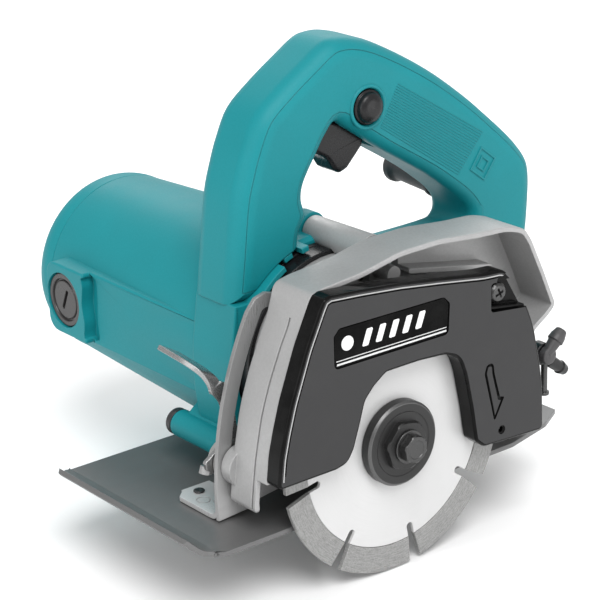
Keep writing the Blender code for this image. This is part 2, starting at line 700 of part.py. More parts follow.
def blade_case(root):
    lower = [(-74.0, 16.0), (-80.0, 2.0)]
    lower += arc(BASE_PIVOT, 6.0, 150.0, 270.0, 4)
    lower += [(-60.0, -15.0), (-19.0, -9.0)]
    lower += arc((0.0, 0.0), 20.6, 205.0, 330.0, 8)
    lower += [(50.0, -13.5), (60.0, -14.5)]
    outline = case_front() + case_top() + lower
    case = prism("blade_case", root, outline, CASE_BACK, 1.0)
    inner = offset(case_front() + case_top(), CASE_WALL)
    inner = [(62.0, -40.0)] + inner[1:-2] + [(-82.0, 31.5), (-95.0, 31.5), (-95.0, -40.0)]
    cavity = prism("cut_case", root, inner, CASE_FLOOR, 10.0)
    cut(cavity, stack("keep_bearing_seat", root, (0, 0), [(-30.0, 19.5), (-8.0, 19.5)], 28))
    cut(cavity, stack("keep_screw_post", root, COVER_SCREW_AXIS, [(-30.0, 5.0), (0.9, 5.0)], 12))
    cut(cavity, stack("keep_pivot", root, BASE_PIVOT, [(-30.0, 6.0), (-13.0, 6.0)], 16))
    cut(case, cavity)
    cut(case, block("cut_case_lip", root, (45.0, 80.0), (-5.0, 10.0), (-30.0, 1.0)))
    boss(case, CLAMP_AXIS, 9.0, -23.7, -20.0, 20)
    drill(case, (0.0, 0.0), 16.4, -19.0, 0.0, 24)
    drill(case, (0.0, 0.0), 8.0, -30.0, 0.0, 16)
    drill(case, COVER_SCREW_AXIS, 2.4, -10.0, 5.0, 8)
    drill(case, CLAMP_AXIS, 3.4, -30.0, 0.0, 12)
    drill(case, BASE_PIVOT, 2.4, -30.0, 0.0, 12)
    return cast(case)


def cover_outer():
    """Outer outline of the blade cover, from its front foot over the top to its rear foot."""
    front = [(63.9, 1.3), (62.5, 12.9), (60.2, 22.3), (56.8, 33.4), (49.0, 53.1), (41.8, 67.0), (40.0, 70.0)]
    top = [(37.3, 71.2), (3.0, 68.0), (-17.0, 65.0), (-40.0, 61.0), (-51.0, 60.0), (-54.8, 55.8)]
    rear = [(-63.6, 41.0), (-67.0, 32.9), (-71.1, 14.5), (-72.4, 5.4)]
    foot = [(-72.6, -14.1), (-39.6, -12.2), (-34.8, -6.8)]
    return front + top + rear + foot


def cover_arch():
    """Arch of the blade cover around the flange, from the rear foot to the front foot."""
    rear = [(-34.2, -1.0), (-33.2, 5.8), (-30.0, 21.6), (-27.4, 27.8), (-21.7, 32.1), (-6.2, 33.6)]
    front = [(10.0, 33.6), (17.6, 28.7), (20.7, 25.5), (23.4, 18.1), (26.6, 8.7), (28.7, 4.0), (34.2, 1.2)]
    return rear + front


def blade_cover(root):
    outline = cover_outer() + cover_arch()
    cover = prism("blade_cover", root, outline, 1.3, 9.0)
    pocket = prism("cut_cover", root, offset(outline, 2.0), -5.0, 7.0)
    cut(pocket, block("keep_screw_seat", root, (-63.0, -43.0), (1.0, 9.0), (42.0, 64.0)))
    cut(cover, pocket)
    recess = [(-44.5, 55.0), (-43.5, 44.5), (-70.0, 43.5), (-70.0, 55.0)]
    cut(cover, prism("cut_cover_recess", root, recess, 4.0, 12.0))
    drill(cover, COVER_SCREW_AXIS, 2.4, -5.0, 12.0, 8)
    return paint(cover, (0.035, 0.035, 0.037), 0.35)


def cover_fittings(root):
    label = [(36.0, 42.5), (36.0, 54.5), (33.0, 57.0)] + [(-19.0, 56.5), (-21.0, 54.5), (-21.0, 42.0)]
    black(prism("label_plate", root, label, 9.0 + GAP, 10.0))
    screw = [(-8.0, 2.0), (4.3, 2.0), (4.3, 4.6), (6.0, 4.6), (7.0, 3.2)]
    steel(stack("cover_screw", root, COVER_SCREW_AXIS, screw, 16))


# ---------------------------------------------------------------- base

def base_plate(axis):
    bottom = BASE_TOP - BASE_THICKNESS
    profile = [(-104.5, bottom), (84.0, bottom), (90.5, bottom + 1.6), (94.0, bottom + 6.2)]
    profile += [(92.2, bottom + 7.2), (89.4, bottom + 3.6), (83.6, BASE_TOP), (-104.5, BASE_TOP)]
    plate = prism("base_plate", axis, profile, -105.0, -2.8)
    front = [(81.5, -2.8), (89.5, -8.3), (94.0, -12.0), (99.0, -12.0), (99.0, 2.0), (81.5, 2.0)]
    rear = [(-69.0, -2.8), (-91.8, -8.8), (-104.3, -15.0), (-110.0, -15.0), (-110.0, 2.0), (-69.0, 2.0)]
    for name, corner in (("front", front), ("rear", rear)):
        cut(plate, upright(f"cut_corner_{name}", axis, corner, -40.0, 0.0))
    ear = [(-90.0, BASE_TOP - 0.5), (-74.0, BASE_TOP - 0.5)] + arc(BASE_PIVOT, 5.5, 0.0, 180.0, 8)
    add(plate, prism("add_ear", axis, ear, -24.3, -21.8))
    drill(plate, BASE_PIVOT, 2.3, -30.0, -15.0, 16)
    cut(plate, post("cut_rivet", axis, rivet_place(), [(-30.0, 1.8), (-20.0, 1.8)]))
    return paint(plate, (0.18, 0.18, 0.19), 0.38, 1.0)


def upright(name, parent, outline, z0, z1):
    """An (x, y) outline extruded from z0 to z1."""
    build = bmesh.new()
    rings = []
    for z in (z0, z1):
        rings.append([build.verts.new(local(parent, x, y, z)) for x, y in outline])
    build.faces.new(rings[0])
    build.faces.new(rings[1])
    for index in range(len(outline)):
        after = (index + 1) % len(outline)
        build.faces.new((rings[0][index], rings[0][after], rings[1][after], rings[1][index]))
    return new_object(name, build, parent)


def post(name, parent, centre, stations, steps=16):
    """A turned piece about a vertical axis, stations given as (z, radius)."""
    build = bmesh.new()
    rings = []
    for z, radius in stations:
        ring = []
        for x, y in circle(centre, radius, steps):
            ring.append(build.verts.new(local(parent, x, y, z)))
        rings.append(ring)
    build.faces.new(rings[0])
    build.faces.new(rings[-1])
    for first, second in zip(rings, rings[1:]):
        for index in range(steps):
            after = (index + 1) % steps
            build.faces.new((first[index], first[after], second[after], second[index]))
    return new_object(name, build, parent)


def rivet_place():
    return (60.0, -48.3)


def depth_guide_bracket(axis):
    """The foot lies on the base, and the upright carries an arc slot about the base's pivot."""
    outer, inner = 150.6, 131.0
    low = math.degrees(math.asin((BASE_TOP + GAP - BASE_PIVOT[1]) / SLOT_RADIUS))
    rest = math.degrees(math.atan2(CLAMP_AXIS[1] - BASE_PIVOT[1], CLAMP_AXIS[0] - BASE_PIVOT[0]))
    top = rest + 24.0
    outline = [(65.6, BASE_TOP + GAP)] + arc(BASE_PIVOT, outer, low + 1.0, top, 8)
    tip = arc(BASE_PIVOT, SLOT_RADIUS, top, top + 3.4, 1)[-1]
    outline += [tip] + arc(BASE_PIVOT, inner, top, low + 1.0, 8) + [(51.0, BASE_TOP + GAP)]
    bracket = prism("depth_guide_bracket", axis, outline, -26.0, -24.0)
    foot = block("add_foot", axis, (51.0, 68.5), (-54.0, -24.0), (BASE_TOP + GAP, BASE_TOP + GAP + 2.0))
    add(bracket, foot)
    slot = arc(BASE_PIVOT, SLOT_RADIUS + SLOT_HALF, rest - 0.2, top + 0.2, 10)
    slot += arc(BASE_PIVOT, SLOT_RADIUS - SLOT_HALF, top + 0.2, rest - 0.2, 10)
    cut(bracket, prism("cut_slot", axis, slot, -30.0, -20.0))
    for end in (rest, top):
        centre = arc(BASE_PIVOT, SLOT_RADIUS, end, end + 1.0, 1)[0]
        drill(bracket, centre, SLOT_HALF, -30.0, -20.0, 16)
    cut(bracket, post("cut_foot_rivet", axis, rivet_place(), [(-30.0, 1.8), (-10.0, 1.8)]))
    return paint(bracket, (0.75, 0.75, 0.76), 0.28, 1.0)


def build_base_body(axis):
    base_plate(axis)
    depth_guide_bracket(axis)
    foot_top = BASE_TOP + GAP + 2.0
    stations = [(BASE_TOP - BASE_THICKNESS + 0.1, 1.5), (foot_top + GAP, 1.5), (foot_top + GAP, 2.8),
                (foot_top + 1.2, 2.2)]
    steel(post("bracket_rivet", axis, rivet_place(), stations))


# ---------------------------------------------------------------- clamp and water feed

def clamp(root, axis):
    steel(stack("clamp_bolt", root, CLAMP_AXIS, [(-17.3, 3.0), (-36.0, 3.0)], 16))
    nut = hexagon(11.0)
    nut_profile = [(-31.3, nut), (-35.0, nut), (-35.0, 3.3), (-31.3, 3.3)]
    steel(stack("clamp_nut", root, CLAMP_AXIS, nut_profile, 24, closed=True))
    arm = arc(CLAMP_AXIS, 8.0, 170.0, 350.0, 10)
    arm += [(68.0, 8.0), (70.5, 20.0), (73.0, 30.0), (60.0, 31.0), (55.0, 16.0)]
    lever = prism("clamp_lever", axis, arm, -31.0, -28.0)
    path = [(66.2, -29.5, 27.0), (67.2, -31.5, 34.0), (68.0, -36.0, 39.0), (68.0, -53.0, 40.0)]
    add(lever, ribbon("add_lever_tab", axis, path, (0.86, 0.0, 0.51), 6.5, 2.4))
    drill(lever, CLAMP_AXIS, 3.3, -40.0, -20.0, 16)
    paint(lever, (0.6, 0.6, 0.6), 0.4, 0.9)


def tube(name, parent, start, end, radius, steps=16):
    """A straight round rod between two (x, z) points at one depth."""
    (x0, y0, z0), (x1, y1, z1) = start, end
    direction = Vector((x1 - x0, y1 - y0, z1 - z0))
    turn = direction.to_track_quat("Z", "Y").to_matrix().to_4x4()
    build = bmesh.new()
    bmesh.ops.create_cone(build, cap_ends=True, segments=steps, radius1=radius, radius2=radius,
                          depth=direction.length)
    middle = (Vector(start) + Vector(end)) / 2.0
    for vertex in build.verts:
        vertex.co = local(parent, *(turn @ vertex.co + middle))
    return new_object(name, build, parent)


def water_feed(root, axis):
    y = -8.0
    body = stack("water_valve_body", root, COCK_AXIS, [(y - 5.0, 5.2), (y + 4.0, 5.2)], 20)
    add(body, tube("add_valve_stem", root, (-90.0, y, 9.0), (-77.5, y, 9.0), 3.2))
    black(body)
    stations = [(y + 4.3, 4.4), (y + 6.3, 4.4), (y + 6.3, 2.2), (y + 7.5, 2.0)]
    lever = stack("water_cock_lever", axis, COCK_AXIS, stations, 20)
    path = [(-90.0, y + 5.3, 12.0), (-99.0, y + 5.3, 18.0)]
    add(lever, ribbon("add_cock_arm", axis, path, (0.5, 0.0, 0.9), 2.6, 2.0))
    black(lever)
    barb = tube("hose_barb", root, (-94.6, y, 3.9), (-102.4, y, -3.4), 2.4)
    add(barb, tube("add_barb_ring", root, (-98.4, y, 0.3), (-100.4, y, -1.6), 3.2))
    black(barb)
    steel(tube("valve_screw", root, (-90.9, y - 1.0, -8.4), (-90.9, y - 1.0, 0.8), 2.2, 12))


def pivot_pin(root):
    return steel(stack("pivot_pin", root, BASE_PIVOT, [(-26.0, 2.0), (-12.5, 2.0)], 16))


# ---------------------------------------------------------------- assembly

def clear_scene():
    for item in list(bpy.data.objects):
        bpy.data.objects.remove(item, do_unlink=True)


def build():
    clear_scene()
    root = axis_empty("spindle_reference", (0.0, 0.0))
    blade_axis = axis_empty("blade_axis", (0.0, 0.0))
    armature_axis = axis_empty("armature_axis", MOTOR_AXIS)
    base_axis = axis_empty("base_axis", BASE_PIVOT)
    clamp_axis = axis_empty("clamp_axis", CLAMP_AXIS)
    trigger_axis = axis_empty("trigger_axis", TRIGGER_PIVOT)
    lock_axis = axis_empty("lock_axis", LOCK_AXIS)
    cock_axis = axis_empty("cock_axis", COCK_AXIS)
    build_blade_body(blade_axis)
    gear_pair(blade_axis, armature_axis)
    build_armature_body(armature_axis)
    motor_housing(root)
    rear_end_cap(root)
    stator(root)
    brushes(root)
    bearings(root)
    housing_screws(root)
    handle_cover(root)
    trigger(trigger_axis)
    lock_button(lock_axis)
    switch_body(root)
    cord_guard(root)
    gear_housing(root)
    baffle_plate(root)
    blade_case(root)
    blade_cover(root)
    cover_fittings(root)
    build_base_body(base_axis)
    clamp(root, clamp_axis)
    water_feed(root, cock_axis)
    pivot_pin(root)


build()
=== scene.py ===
"""The looks of a hand-held disc saw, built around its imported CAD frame.

Places are given in millimetres from the spindle's axis at the blade's middle plane,
which comes from the frame: x is the cutting direction, y points to the blade's outer
side, z is up. at() turns them into the frame's metres.
"""
import math

import bmesh
import bpy
from mathutils import Matrix, Vector


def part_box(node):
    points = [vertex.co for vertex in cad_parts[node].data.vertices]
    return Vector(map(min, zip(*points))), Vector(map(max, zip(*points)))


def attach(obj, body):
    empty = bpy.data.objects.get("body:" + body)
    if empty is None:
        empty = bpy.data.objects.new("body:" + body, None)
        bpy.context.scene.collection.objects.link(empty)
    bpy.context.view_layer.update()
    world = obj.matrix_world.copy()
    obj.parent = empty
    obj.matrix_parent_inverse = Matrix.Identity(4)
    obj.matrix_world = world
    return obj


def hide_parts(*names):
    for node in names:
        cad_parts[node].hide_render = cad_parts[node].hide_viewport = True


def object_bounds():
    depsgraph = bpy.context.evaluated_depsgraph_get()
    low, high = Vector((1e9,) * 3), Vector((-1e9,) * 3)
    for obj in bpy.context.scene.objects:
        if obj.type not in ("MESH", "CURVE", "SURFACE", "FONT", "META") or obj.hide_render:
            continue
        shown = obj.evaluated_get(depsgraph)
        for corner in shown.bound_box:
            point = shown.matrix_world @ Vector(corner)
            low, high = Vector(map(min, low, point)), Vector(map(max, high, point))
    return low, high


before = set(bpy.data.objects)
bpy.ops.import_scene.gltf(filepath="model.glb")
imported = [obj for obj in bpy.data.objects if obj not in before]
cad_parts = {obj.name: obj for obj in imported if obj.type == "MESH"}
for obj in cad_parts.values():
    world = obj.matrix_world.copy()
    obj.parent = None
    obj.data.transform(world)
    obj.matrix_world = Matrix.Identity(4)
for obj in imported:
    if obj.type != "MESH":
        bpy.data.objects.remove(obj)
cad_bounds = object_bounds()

MM = 0.001
core_low, core_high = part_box("blade_core")
CENTRE = (core_low + core_high) / 2
MOTOR_AXIS = (-3, 25)
BASE_PIVOT = (-82, -12)
CLAMP_AXIS = (58.5, 0)
LOCK_AXIS = (-28, 120)
COVER_SCREW = (-50, 50)
CORD_AXIS = (-93, 70)
COCK_AXIS = (-90, 9)
WATER_PLANE = -9
SCREW_AXES = {"front": (43, -6.6), "top": (-9, 70.5), "rear": (-47, -3)}
BRUSH = (-166, 24.5)
BRUSH_ORIGIN = (MOTOR_AXIS[0], *BRUSH)
BASE_TOP = -22.5
SOLE_HALF = 1
BLADE_RADIUS = 55
CORE_RADIUS = 44
SEGMENTS = 8
SEGMENT_PHASE = 35
SLIT_HALF = 1.5
SLOT_RADIUS = 141
SLOT_HALF = 3.3
BRACKET_INNER = 131.2
BRACKET_OUTER = 150.6
RIVET = (60, -48.3)
DIMPLE = (63.2, -40.9)
SEAT_RADIUS = 20.6
FLOOR_REACH = 6
FLOOR_GAP = 0.0005
LEAST_GAP = 0.04
LONGEST_SIDE = 1.5
BEVEL_SAMPLES = 4
LUG_ROOT = 30
HOUSING_BACK = -46.7
HOUSING_FRONT = -21.3
SPINDLE = (0, 0)


def at(x, y, z):
    """A point in the frame, from millimetres about the spindle."""
    return CENTRE + Vector((x, y, z)) * MM


# ---------------------------------------------------------------- outlines

def on_circle(centre, radius, degrees):
    angle = math.radians(degrees)
    return (centre[0] + radius * math.cos(angle), centre[1] + radius * math.sin(angle))


def arc(centre, radius, start, end, steps):
    return [on_circle(centre, radius, start + (end - start) * step / steps) for step in range(steps + 1)]


def circle(centre, radius, steps=48):
    return arc(centre, radius, 0, 360, steps)[:-1]


def fillet(corners, steps=6):
    """A closed outline from (a, b, radius) corners, each rounded by an arc."""
    count = len(corners)
    points = []
    for index, (a, b, radius) in enumerate(corners):
        here = Vector((a, b))
        if radius <= 0:
            points.append((a, b))
            continue
        before = Vector(corners[index - 1][:2]) - here
        after = Vector(corners[(index + 1) % count][:2]) - here
        half = before.angle(after) / 2
        reach = min(radius / math.tan(half), 0.49 * before.length, 0.49 * after.length)
        size = reach * math.tan(half)
        middle = here + (before.normalized() + after.normalized()).normalized() * (size / math.sin(half))
        first = here + before.normalized() * reach - middle
        last = here + after.normalized() * reach - middle
        sweep = first.angle_signed(last)
        for step in range(steps + 1):
            spoke = first.copy()
            spoke.rotate(Matrix.Rotation(-sweep * step / steps, 2))
            points.append(tuple(middle + spoke))
    return spaced(points)


def spline(points, steps=4, closed=True):
    """A smooth curve through the given points."""
    count = len(points)
    last = count if closed else count - 1
    smooth = []
    for index in range(last):
        near = [index + shift for shift in (-1, 0, 1, 2)]
        places = [place % count if closed else min(count - 1, max(0, place)) for place in near]
        before, here, after, beyond = [Vector(points[place]) for place in places]
        for step in range(steps):
            t = step / steps
            smooth.append(tuple(0.5 * (2 * here + (after - before) * t
                                       + (2 * before - 5 * here + 4 * after - beyond) * t * t
                                       + (3 * here - before - 3 * after + beyond) * t ** 3)))
    if not closed:
        smooth.append(tuple(points[-1]))
    return smooth


def box(left, right, foot, top, radius=0, steps=3):
    """A rectangle, its corners rounded if a radius is given."""
    return fillet(corners_of([(left, foot), (right, foot), (right, top), (left, top)], radius), steps)


def bar(start, end, half_width):
    """The corners of a straight bar between two points."""
    way = (end - start).normalized()
    side = Vector((-way.y, way.x)) * half_width
    return [start - side, end - side, end + side, start + side]


def corners_of(points, radius=0):
    """Points as corners for fillet."""
    return [(a, b, radius) for a, b in points]


def area(points):
    return sum(a[0] * b[1] - b[0] * a[1] for a, b in zip(points, points[1:] + points[:1])) / 2


def spaced(points):
    """A closed outline without points that nearly coincide."""
    kept = []
    for point in points:
        if not kept or math.dist(point, kept[-1]) > LEAST_GAP:
            kept.append(point)
    while math.dist(kept[0], kept[-1]) <= LEAST_GAP:
        kept.pop()
    return kept


def side_distance(point, start, end):
    """Distance from a point to a straight side."""
    along = (end[0] - start[0], end[1] - start[1])
    length = along[0] ** 2 + along[1] ** 2
    share = ((point[0] - start[0]) * along[0] + (point[1] - start[1]) * along[1]) / max(length, 1e-12)
    share = min(1, max(0, share))
    return math.dist(point, (start[0] + along[0] * share, start[1] + along[1] * share))


def dense(points):
    """A closed outline with its long sides split up."""
    split = []
    for start, end in zip(points, points[1:] + points[:1]):
        count = max(1, math.ceil(math.dist(start, end) / LONGEST_SIDE))
        for step in range(count):
            share = step / count
            split.append((start[0] + (end[0] - start[0]) * share, start[1] + (end[1] - start[1]) * share))
    return split


def trimmed(points, distance):
    """The offset outline without the stretches that fold over themselves."""
    sides = list(zip(points, points[1:] + points[:1]))
    kept = [point for point in offset(dense(points), distance)
            if min(side_distance(point, start, end) for start, end in sides) > 0.97 * abs(distance)]
    return spaced(kept)


def offset(points, distance):
    """Every side of a closed outline moved inwards, or outwards if negative."""
    if abs(distance) < 1e-9:
        return list(points)
    turn = 1 if area(points) > 0 else -1
    count = len(points)
    moved = []
    for index in range(count):
        here = Vector(points[index])
        first = (here - Vector(points[index - 1])).normalized()
        second = (Vector(points[(index + 1) % count]) - here).normalized()
        normal = Vector((-first.y, first.x)) * turn
        other = Vector((-second.y, second.x)) * turn
        middle = (normal + other).normalized()
        moved.append(tuple(here + middle * (distance / max(0.4, middle.dot(normal)))))
    return moved


# ---------------------------------------------------------------- solids

def shell_rows(y0, y1, far, near, steps):
    """Rows of (depth, inset) for an edge rounded at both ends."""
    rows = []
    for step in range(steps + 1 if far > 0 else 1):
        angle = math.pi / 2 * step / steps
        rows.append((y0 + far * (1 - math.cos(angle)), far * (1 - math.sin(angle))))
    for step in range(steps + 1 if near > 0 else 1):
        angle = math.pi / 2 * step / steps
        rows.append((y1 - near * (1 - math.sin(angle)), near * (1 - math.cos(angle))))
    return rows


def place_front(a, y, b):
    """Outline in x and z, depth along y."""
    return at(a, y, b)


def place_side(a, x, b):
    """Outline in y and z, depth along x."""
    return at(x, a, b)


def place_flat(a, z, b):
    """Outline in x and y, depth along z."""
    return at(a, b, z)


def bridge(build, pairs):
    """Quads between each pair of rings."""
    for first, second in pairs:
        for index in range(len(first)):
            after = (index + 1) % len(first)
            build.faces.new((first[index], first[after], second[after], second[index]))


def slab(outer, y0, y1, near=0, far=0, holes=(), hole_round=0, steps=5, place=place_front):
    """A plate with rounded edges and holes, as a bmesh."""
    build = bmesh.new()
    ends = ([], [])
    loops = [(outer, 1, far, near)] + [(hole, -1, hole_round, hole_round) for hole in holes]
    for outline, sign, round_far, round_near in loops:
        rings = []
        for depth, inset in shell_rows(y0, y1, round_far, round_near, steps):
            rings.append([build.verts.new(place(a, depth, b)) for a, b in offset(outline, sign * inset)])
        count = len(outline)
        bridge(build, zip(rings, rings[1:]))
        for side, ring in ((0, rings[0]), (1, rings[-1])):
            if not holes:
                build.faces.new(ring)
                continue
            for index in range(count):
                ends[side].append(build.edges.get((ring[index], ring[(index + 1) % count])))
    if holes:
        for edges in ends:
            bmesh.ops.triangle_fill(build, use_beauty=True, use_dissolve=False, edges=edges)
    return build


def turned(profile, origin, direction, steps, closed=False):
    """A turned piece from (distance along the direction, radius) pairs.

    A radius may also be a function of the angle in degrees.
    """
    build = bmesh.new()
    way = Vector(direction).normalized()
    turn = way.to_track_quat("Z", "X")
    rings = []
    for along, radius in profile:
        ring = []
        for step in range(steps):
            degrees = 360 * step / steps
            angle = math.radians(degrees)
            reach = radius(degrees) if callable(radius) else radius
            local = Vector((reach * math.cos(angle), reach * math.sin(angle), along))
            local.rotate(turn)
            ring.append(build.verts.new(at(*(Vector(origin) + local))))
        rings.append(ring)
    pairs = list(zip(rings, rings[1:]))
    if closed:
        pairs.append((rings[-1], rings[0]))
    else:
        build.faces.new(rings[0])
        build.faces.new(rings[-1])
    bridge(build, pairs)
    return build


def along_y(profile, centre, steps, closed=False):
    """A turned piece about an axis parallel to y."""
    return turned(profile, (centre[0], 0, centre[1]), (0, 1, 0), steps, closed)


def strip(path, across, half_width, thickness, steps, rounding):
    """A bent sheet-metal strip along a smooth path, with rounded long edges."""
    build = bmesh.new()
    way = Vector(across).normalized()
    points = [Vector(point) for point in spline(path, steps, closed=False)]
    edge = []
    for start, side_x, side_y in ((0, 1, 1), (90, -1, 1), (180, -1, -1), (270, 1, -1)):
        for step in range(3):
            angle = math.radians(start + 45 * step)
            edge.append((side_x, side_y, math.cos(angle), math.sin(angle)))
    rings = []
    for index, point in enumerate(points):
        before = points[max(0, index - 1)]
        after = points[min(len(points) - 1, index + 1)]
        tangent = (after - before).normalized()
        up = tangent.cross(way).normalized()
        width = half_width(index / (len(points) - 1)) if callable(half_width) else half_width
        ring = []
        for side_x, side_y, round_x, round_y in edge:
            a = side_x * (width - rounding) + rounding * round_x
            b = side_y * (thickness / 2 - rounding) + rounding * round_y
            ring.append(build.verts.new(at(*(point + way * a + up * b))))
        rings.append(ring)
    build.faces.new(rings[0])
    build.faces.new(rings[-1])
    bridge(build, zip(rings, rings[1:]))
    return build


def merged(builds):
    """Several bmeshes as one."""
    whole = bmesh.new()
    for build in builds:
        mesh = bpy.data.meshes.new("part")
        build.to_mesh(mesh)
        build.free()
        whole.from_mesh(mesh)
    return whole


def placed(name, data):
    """A new object in the scene."""
    thing = bpy.data.objects.new(name, data)
    bpy.context.scene.collection.objects.link(thing)
    return thing


def solid(name, build):
    """A closed bmesh as an object, its normals outward."""
    bmesh.ops.remove_doubles(build, verts=build.verts, dist=1e-7)
    build.normal_update()
    bmesh.ops.triangulate(build, faces=[face for face in build.faces if len(face.verts) > 4])
    bmesh.ops.recalc_face_normals(build, faces=build.faces)
    if build.calc_volume(signed=True) < 0:
        bmesh.ops.reverse_faces(build, faces=build.faces)
    mesh = bpy.data.meshes.new(name)
    build.to_mesh(mesh)
    build.free()
    return placed(name, mesh)


def carve(thing, build, operation="DIFFERENCE"):
    """Applies a Boolean with a bmesh or an object, and removes the tool."""
    tool = build if isinstance(build, bpy.types.Object) else solid("tool", build)
    modifier = thing.modifiers.new("carve", "BOOLEAN")
    modifier.operation = operation
    modifier.solver = "MANIFOLD"
    modifier.object = tool
    bake(thing)
    bpy.data.objects.remove(tool, do_unlink=True)
    return thing


def bake(thing):
    """Applies every modifier."""
    graph = bpy.context.evaluated_depsgraph_get()
    graph.update()
    mesh = bpy.data.meshes.new_from_object(thing.evaluated_get(graph))
    thing.modifiers.clear()
    thing.data = mesh
    return thing


def join(thing, build):
    """Welds a bmesh onto an object."""
    return carve(thing, build, "UNION")


def cut(thing, outline, low, high, place=place_front):
    """Cuts an outline out between two depths."""
    return carve(thing, slab(outline, low, high, place=place))


def bore(thing, y0, y1, radius, centre, steps):
    """Drills a round hole along y."""
    return carve(thing, along_y([(y0, radius), (y1, radius)], centre, steps))


def spun(corners, rounding_steps, centre, steps=56):
    """A hollow or nearly hollow turned piece, its section given as corners."""
    return along_y(fillet(corners, rounding_steps), centre, steps, closed=True)


def copy(thing, name):
    """A second object with its own mesh."""
    twin = thing.copy()
    twin.data = thing.data.copy()
    twin.name = name
    bpy.context.scene.collection.objects.link(twin)
    return twin


def bevel(thing, width):
    """Rounds the sharp edges by a small amount, in millimetres."""
    modifier = thing.modifiers.new("soft_edges", "BEVEL")
    modifier.width = width * MM
    modifier.segments = 2
    modifier.limit_method = "ANGLE"
    modifier.angle_limit = math.radians(40)
    return bake(thing)


def finish_piece(thing, material, node=None, body="tool", sharp=38):
    """Smooth shading, material, body and the CAD node that the piece stands for or is added to."""
    mesh = thing.data
    mesh.shade_smooth()
    mesh.set_sharp_from_angle(angle=math.radians(sharp))
    modifier = thing.modifiers.new("even_normals", "WEIGHTED_NORMAL")
    modifier.keep_sharp = True
    modifier.weight = 60
    if material:
        mesh.materials.clear()
        mesh.materials.append(MATERIALS[material])
    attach(thing, body)
    if node:
        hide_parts(node)


def piece(name, build, material, node=None, body="tool", sharp=38):
    """A bmesh as a finished piece."""
    finish_piece(solid(name, build), material, node, body, sharp)


# ---------------------------------------------------------------- materials

class Shader:
    """A small builder for one Principled material."""

    def __init__(self, name):
        self.material = bpy.data.materials.new(name)
        self.material.use_nodes = True
        self.tree = self.material.node_tree
        self.principled = self.tree.nodes["Principled BSDF"]
        self.place = self.tree.nodes.new("ShaderNodeTexCoord").outputs["Object"]

    def node(self, kind, **inputs):
        made = self.tree.nodes.new(kind)
        for key, value in inputs.items():
            self.feed(made.inputs[key.replace("_", " ")], value)
        return made

    def feed(self, socket, value):
        if isinstance(value, bpy.types.NodeSocket):
            self.tree.links.new(value, socket)
        else:
            socket.default_value = value

    def set(self, socket, value):
        self.feed(self.principled.inputs[socket], value)

    def noise(self, scale, stretch=(1, 1, 1), detail=3, rough=0.55):
        mapping = self.node("ShaderNodeMapping", Vector=self.place)
        mapping.inputs["Scale"].default_value = stretch
        return self.node("ShaderNodeTexNoise", Vector=mapping.outputs[0], Scale=scale, Detail=detail,
                         Roughness=rough).outputs["Fac"]

    def span(self, value, low, high, start=0.3, end=0.7):
        """Maps a factor from start..end onto low..high."""
        made = self.node("ShaderNodeMapRange", Value=value)
        for socket, number in (("From Min", start), ("From Max", end), ("To Min", low), ("To Max", high)):
            made.inputs[socket].default_value = number
        return made.outputs[0]

    def mix(self, factor, first, second):
        made = self.tree.nodes.new("ShaderNodeMix")
        made.data_type = "RGBA"
        self.feed(made.inputs[0], factor)
        for socket, value in ((made.inputs[6], first), (made.inputs[7], second)):
            self.feed(socket, value if isinstance(value, bpy.types.NodeSocket) else (*value, 1))
        return made.outputs[2]

    def math(self, kind, first, second=0):
        made = self.tree.nodes.new("ShaderNodeMath")
        made.operation = kind
        self.feed(made.inputs[0], first)
        self.feed(made.inputs[1], second)
        return made.outputs[0]

    def bumps(self, layers, radius=0):
        """Chains bump layers of (height, depth in mm) over a softened edge normal."""
        normal = self.soft_normal(radius) if radius > 0 else None
        for height, depth in layers:
            made = self.tree.nodes.new("ShaderNodeBump")
            made.inputs["Strength"].default_value = 1
            made.inputs["Distance"].default_value = depth * MM
            self.feed(made.inputs["Height"], height)
            if normal is not None:
                self.feed(made.inputs["Normal"], normal)
            normal = made.outputs[0]
        self.set("Normal", normal)

    def drawn_noise(self, x, y, detail):
        """Noise over two computed coordinates."""
        place = self.node("ShaderNodeCombineXYZ", X=x, Y=y)
        return self.node("ShaderNodeTexNoise", Vector=place.outputs[0], Scale=1, Detail=detail).outputs["Fac"]

    def soft_normal(self, radius):
        """The normal with its edges rounded over a radius in millimetres."""
        soft = self.tree.nodes.new("ShaderNodeBevel")
        soft.samples = BEVEL_SAMPLES
        soft.inputs["Radius"].default_value = radius * MM
        return soft.outputs[0]

    def edge_wear(self, radius, strength):
        """A mask that is high on convex edges."""
        soft = self.soft_normal(radius)
        plain = self.tree.nodes.new("ShaderNodeNewGeometry").outputs["Normal"]
        dot = self.tree.nodes.new("ShaderNodeVectorMath")
        dot.operation = "DOT_PRODUCT"
        self.feed(dot.inputs[0], soft)
        self.feed(dot.inputs[1], plain)
        worn = self.span(dot.outputs["Value"], strength, 0, 0.8, 0.98)
        patchy = self.span(self.noise(160, detail=4), 0.2, 1)
        return self.math("MULTIPLY", worn, patchy)


def shade(colour, factor):
    return tuple(min(1, channel * factor) for channel in colour)


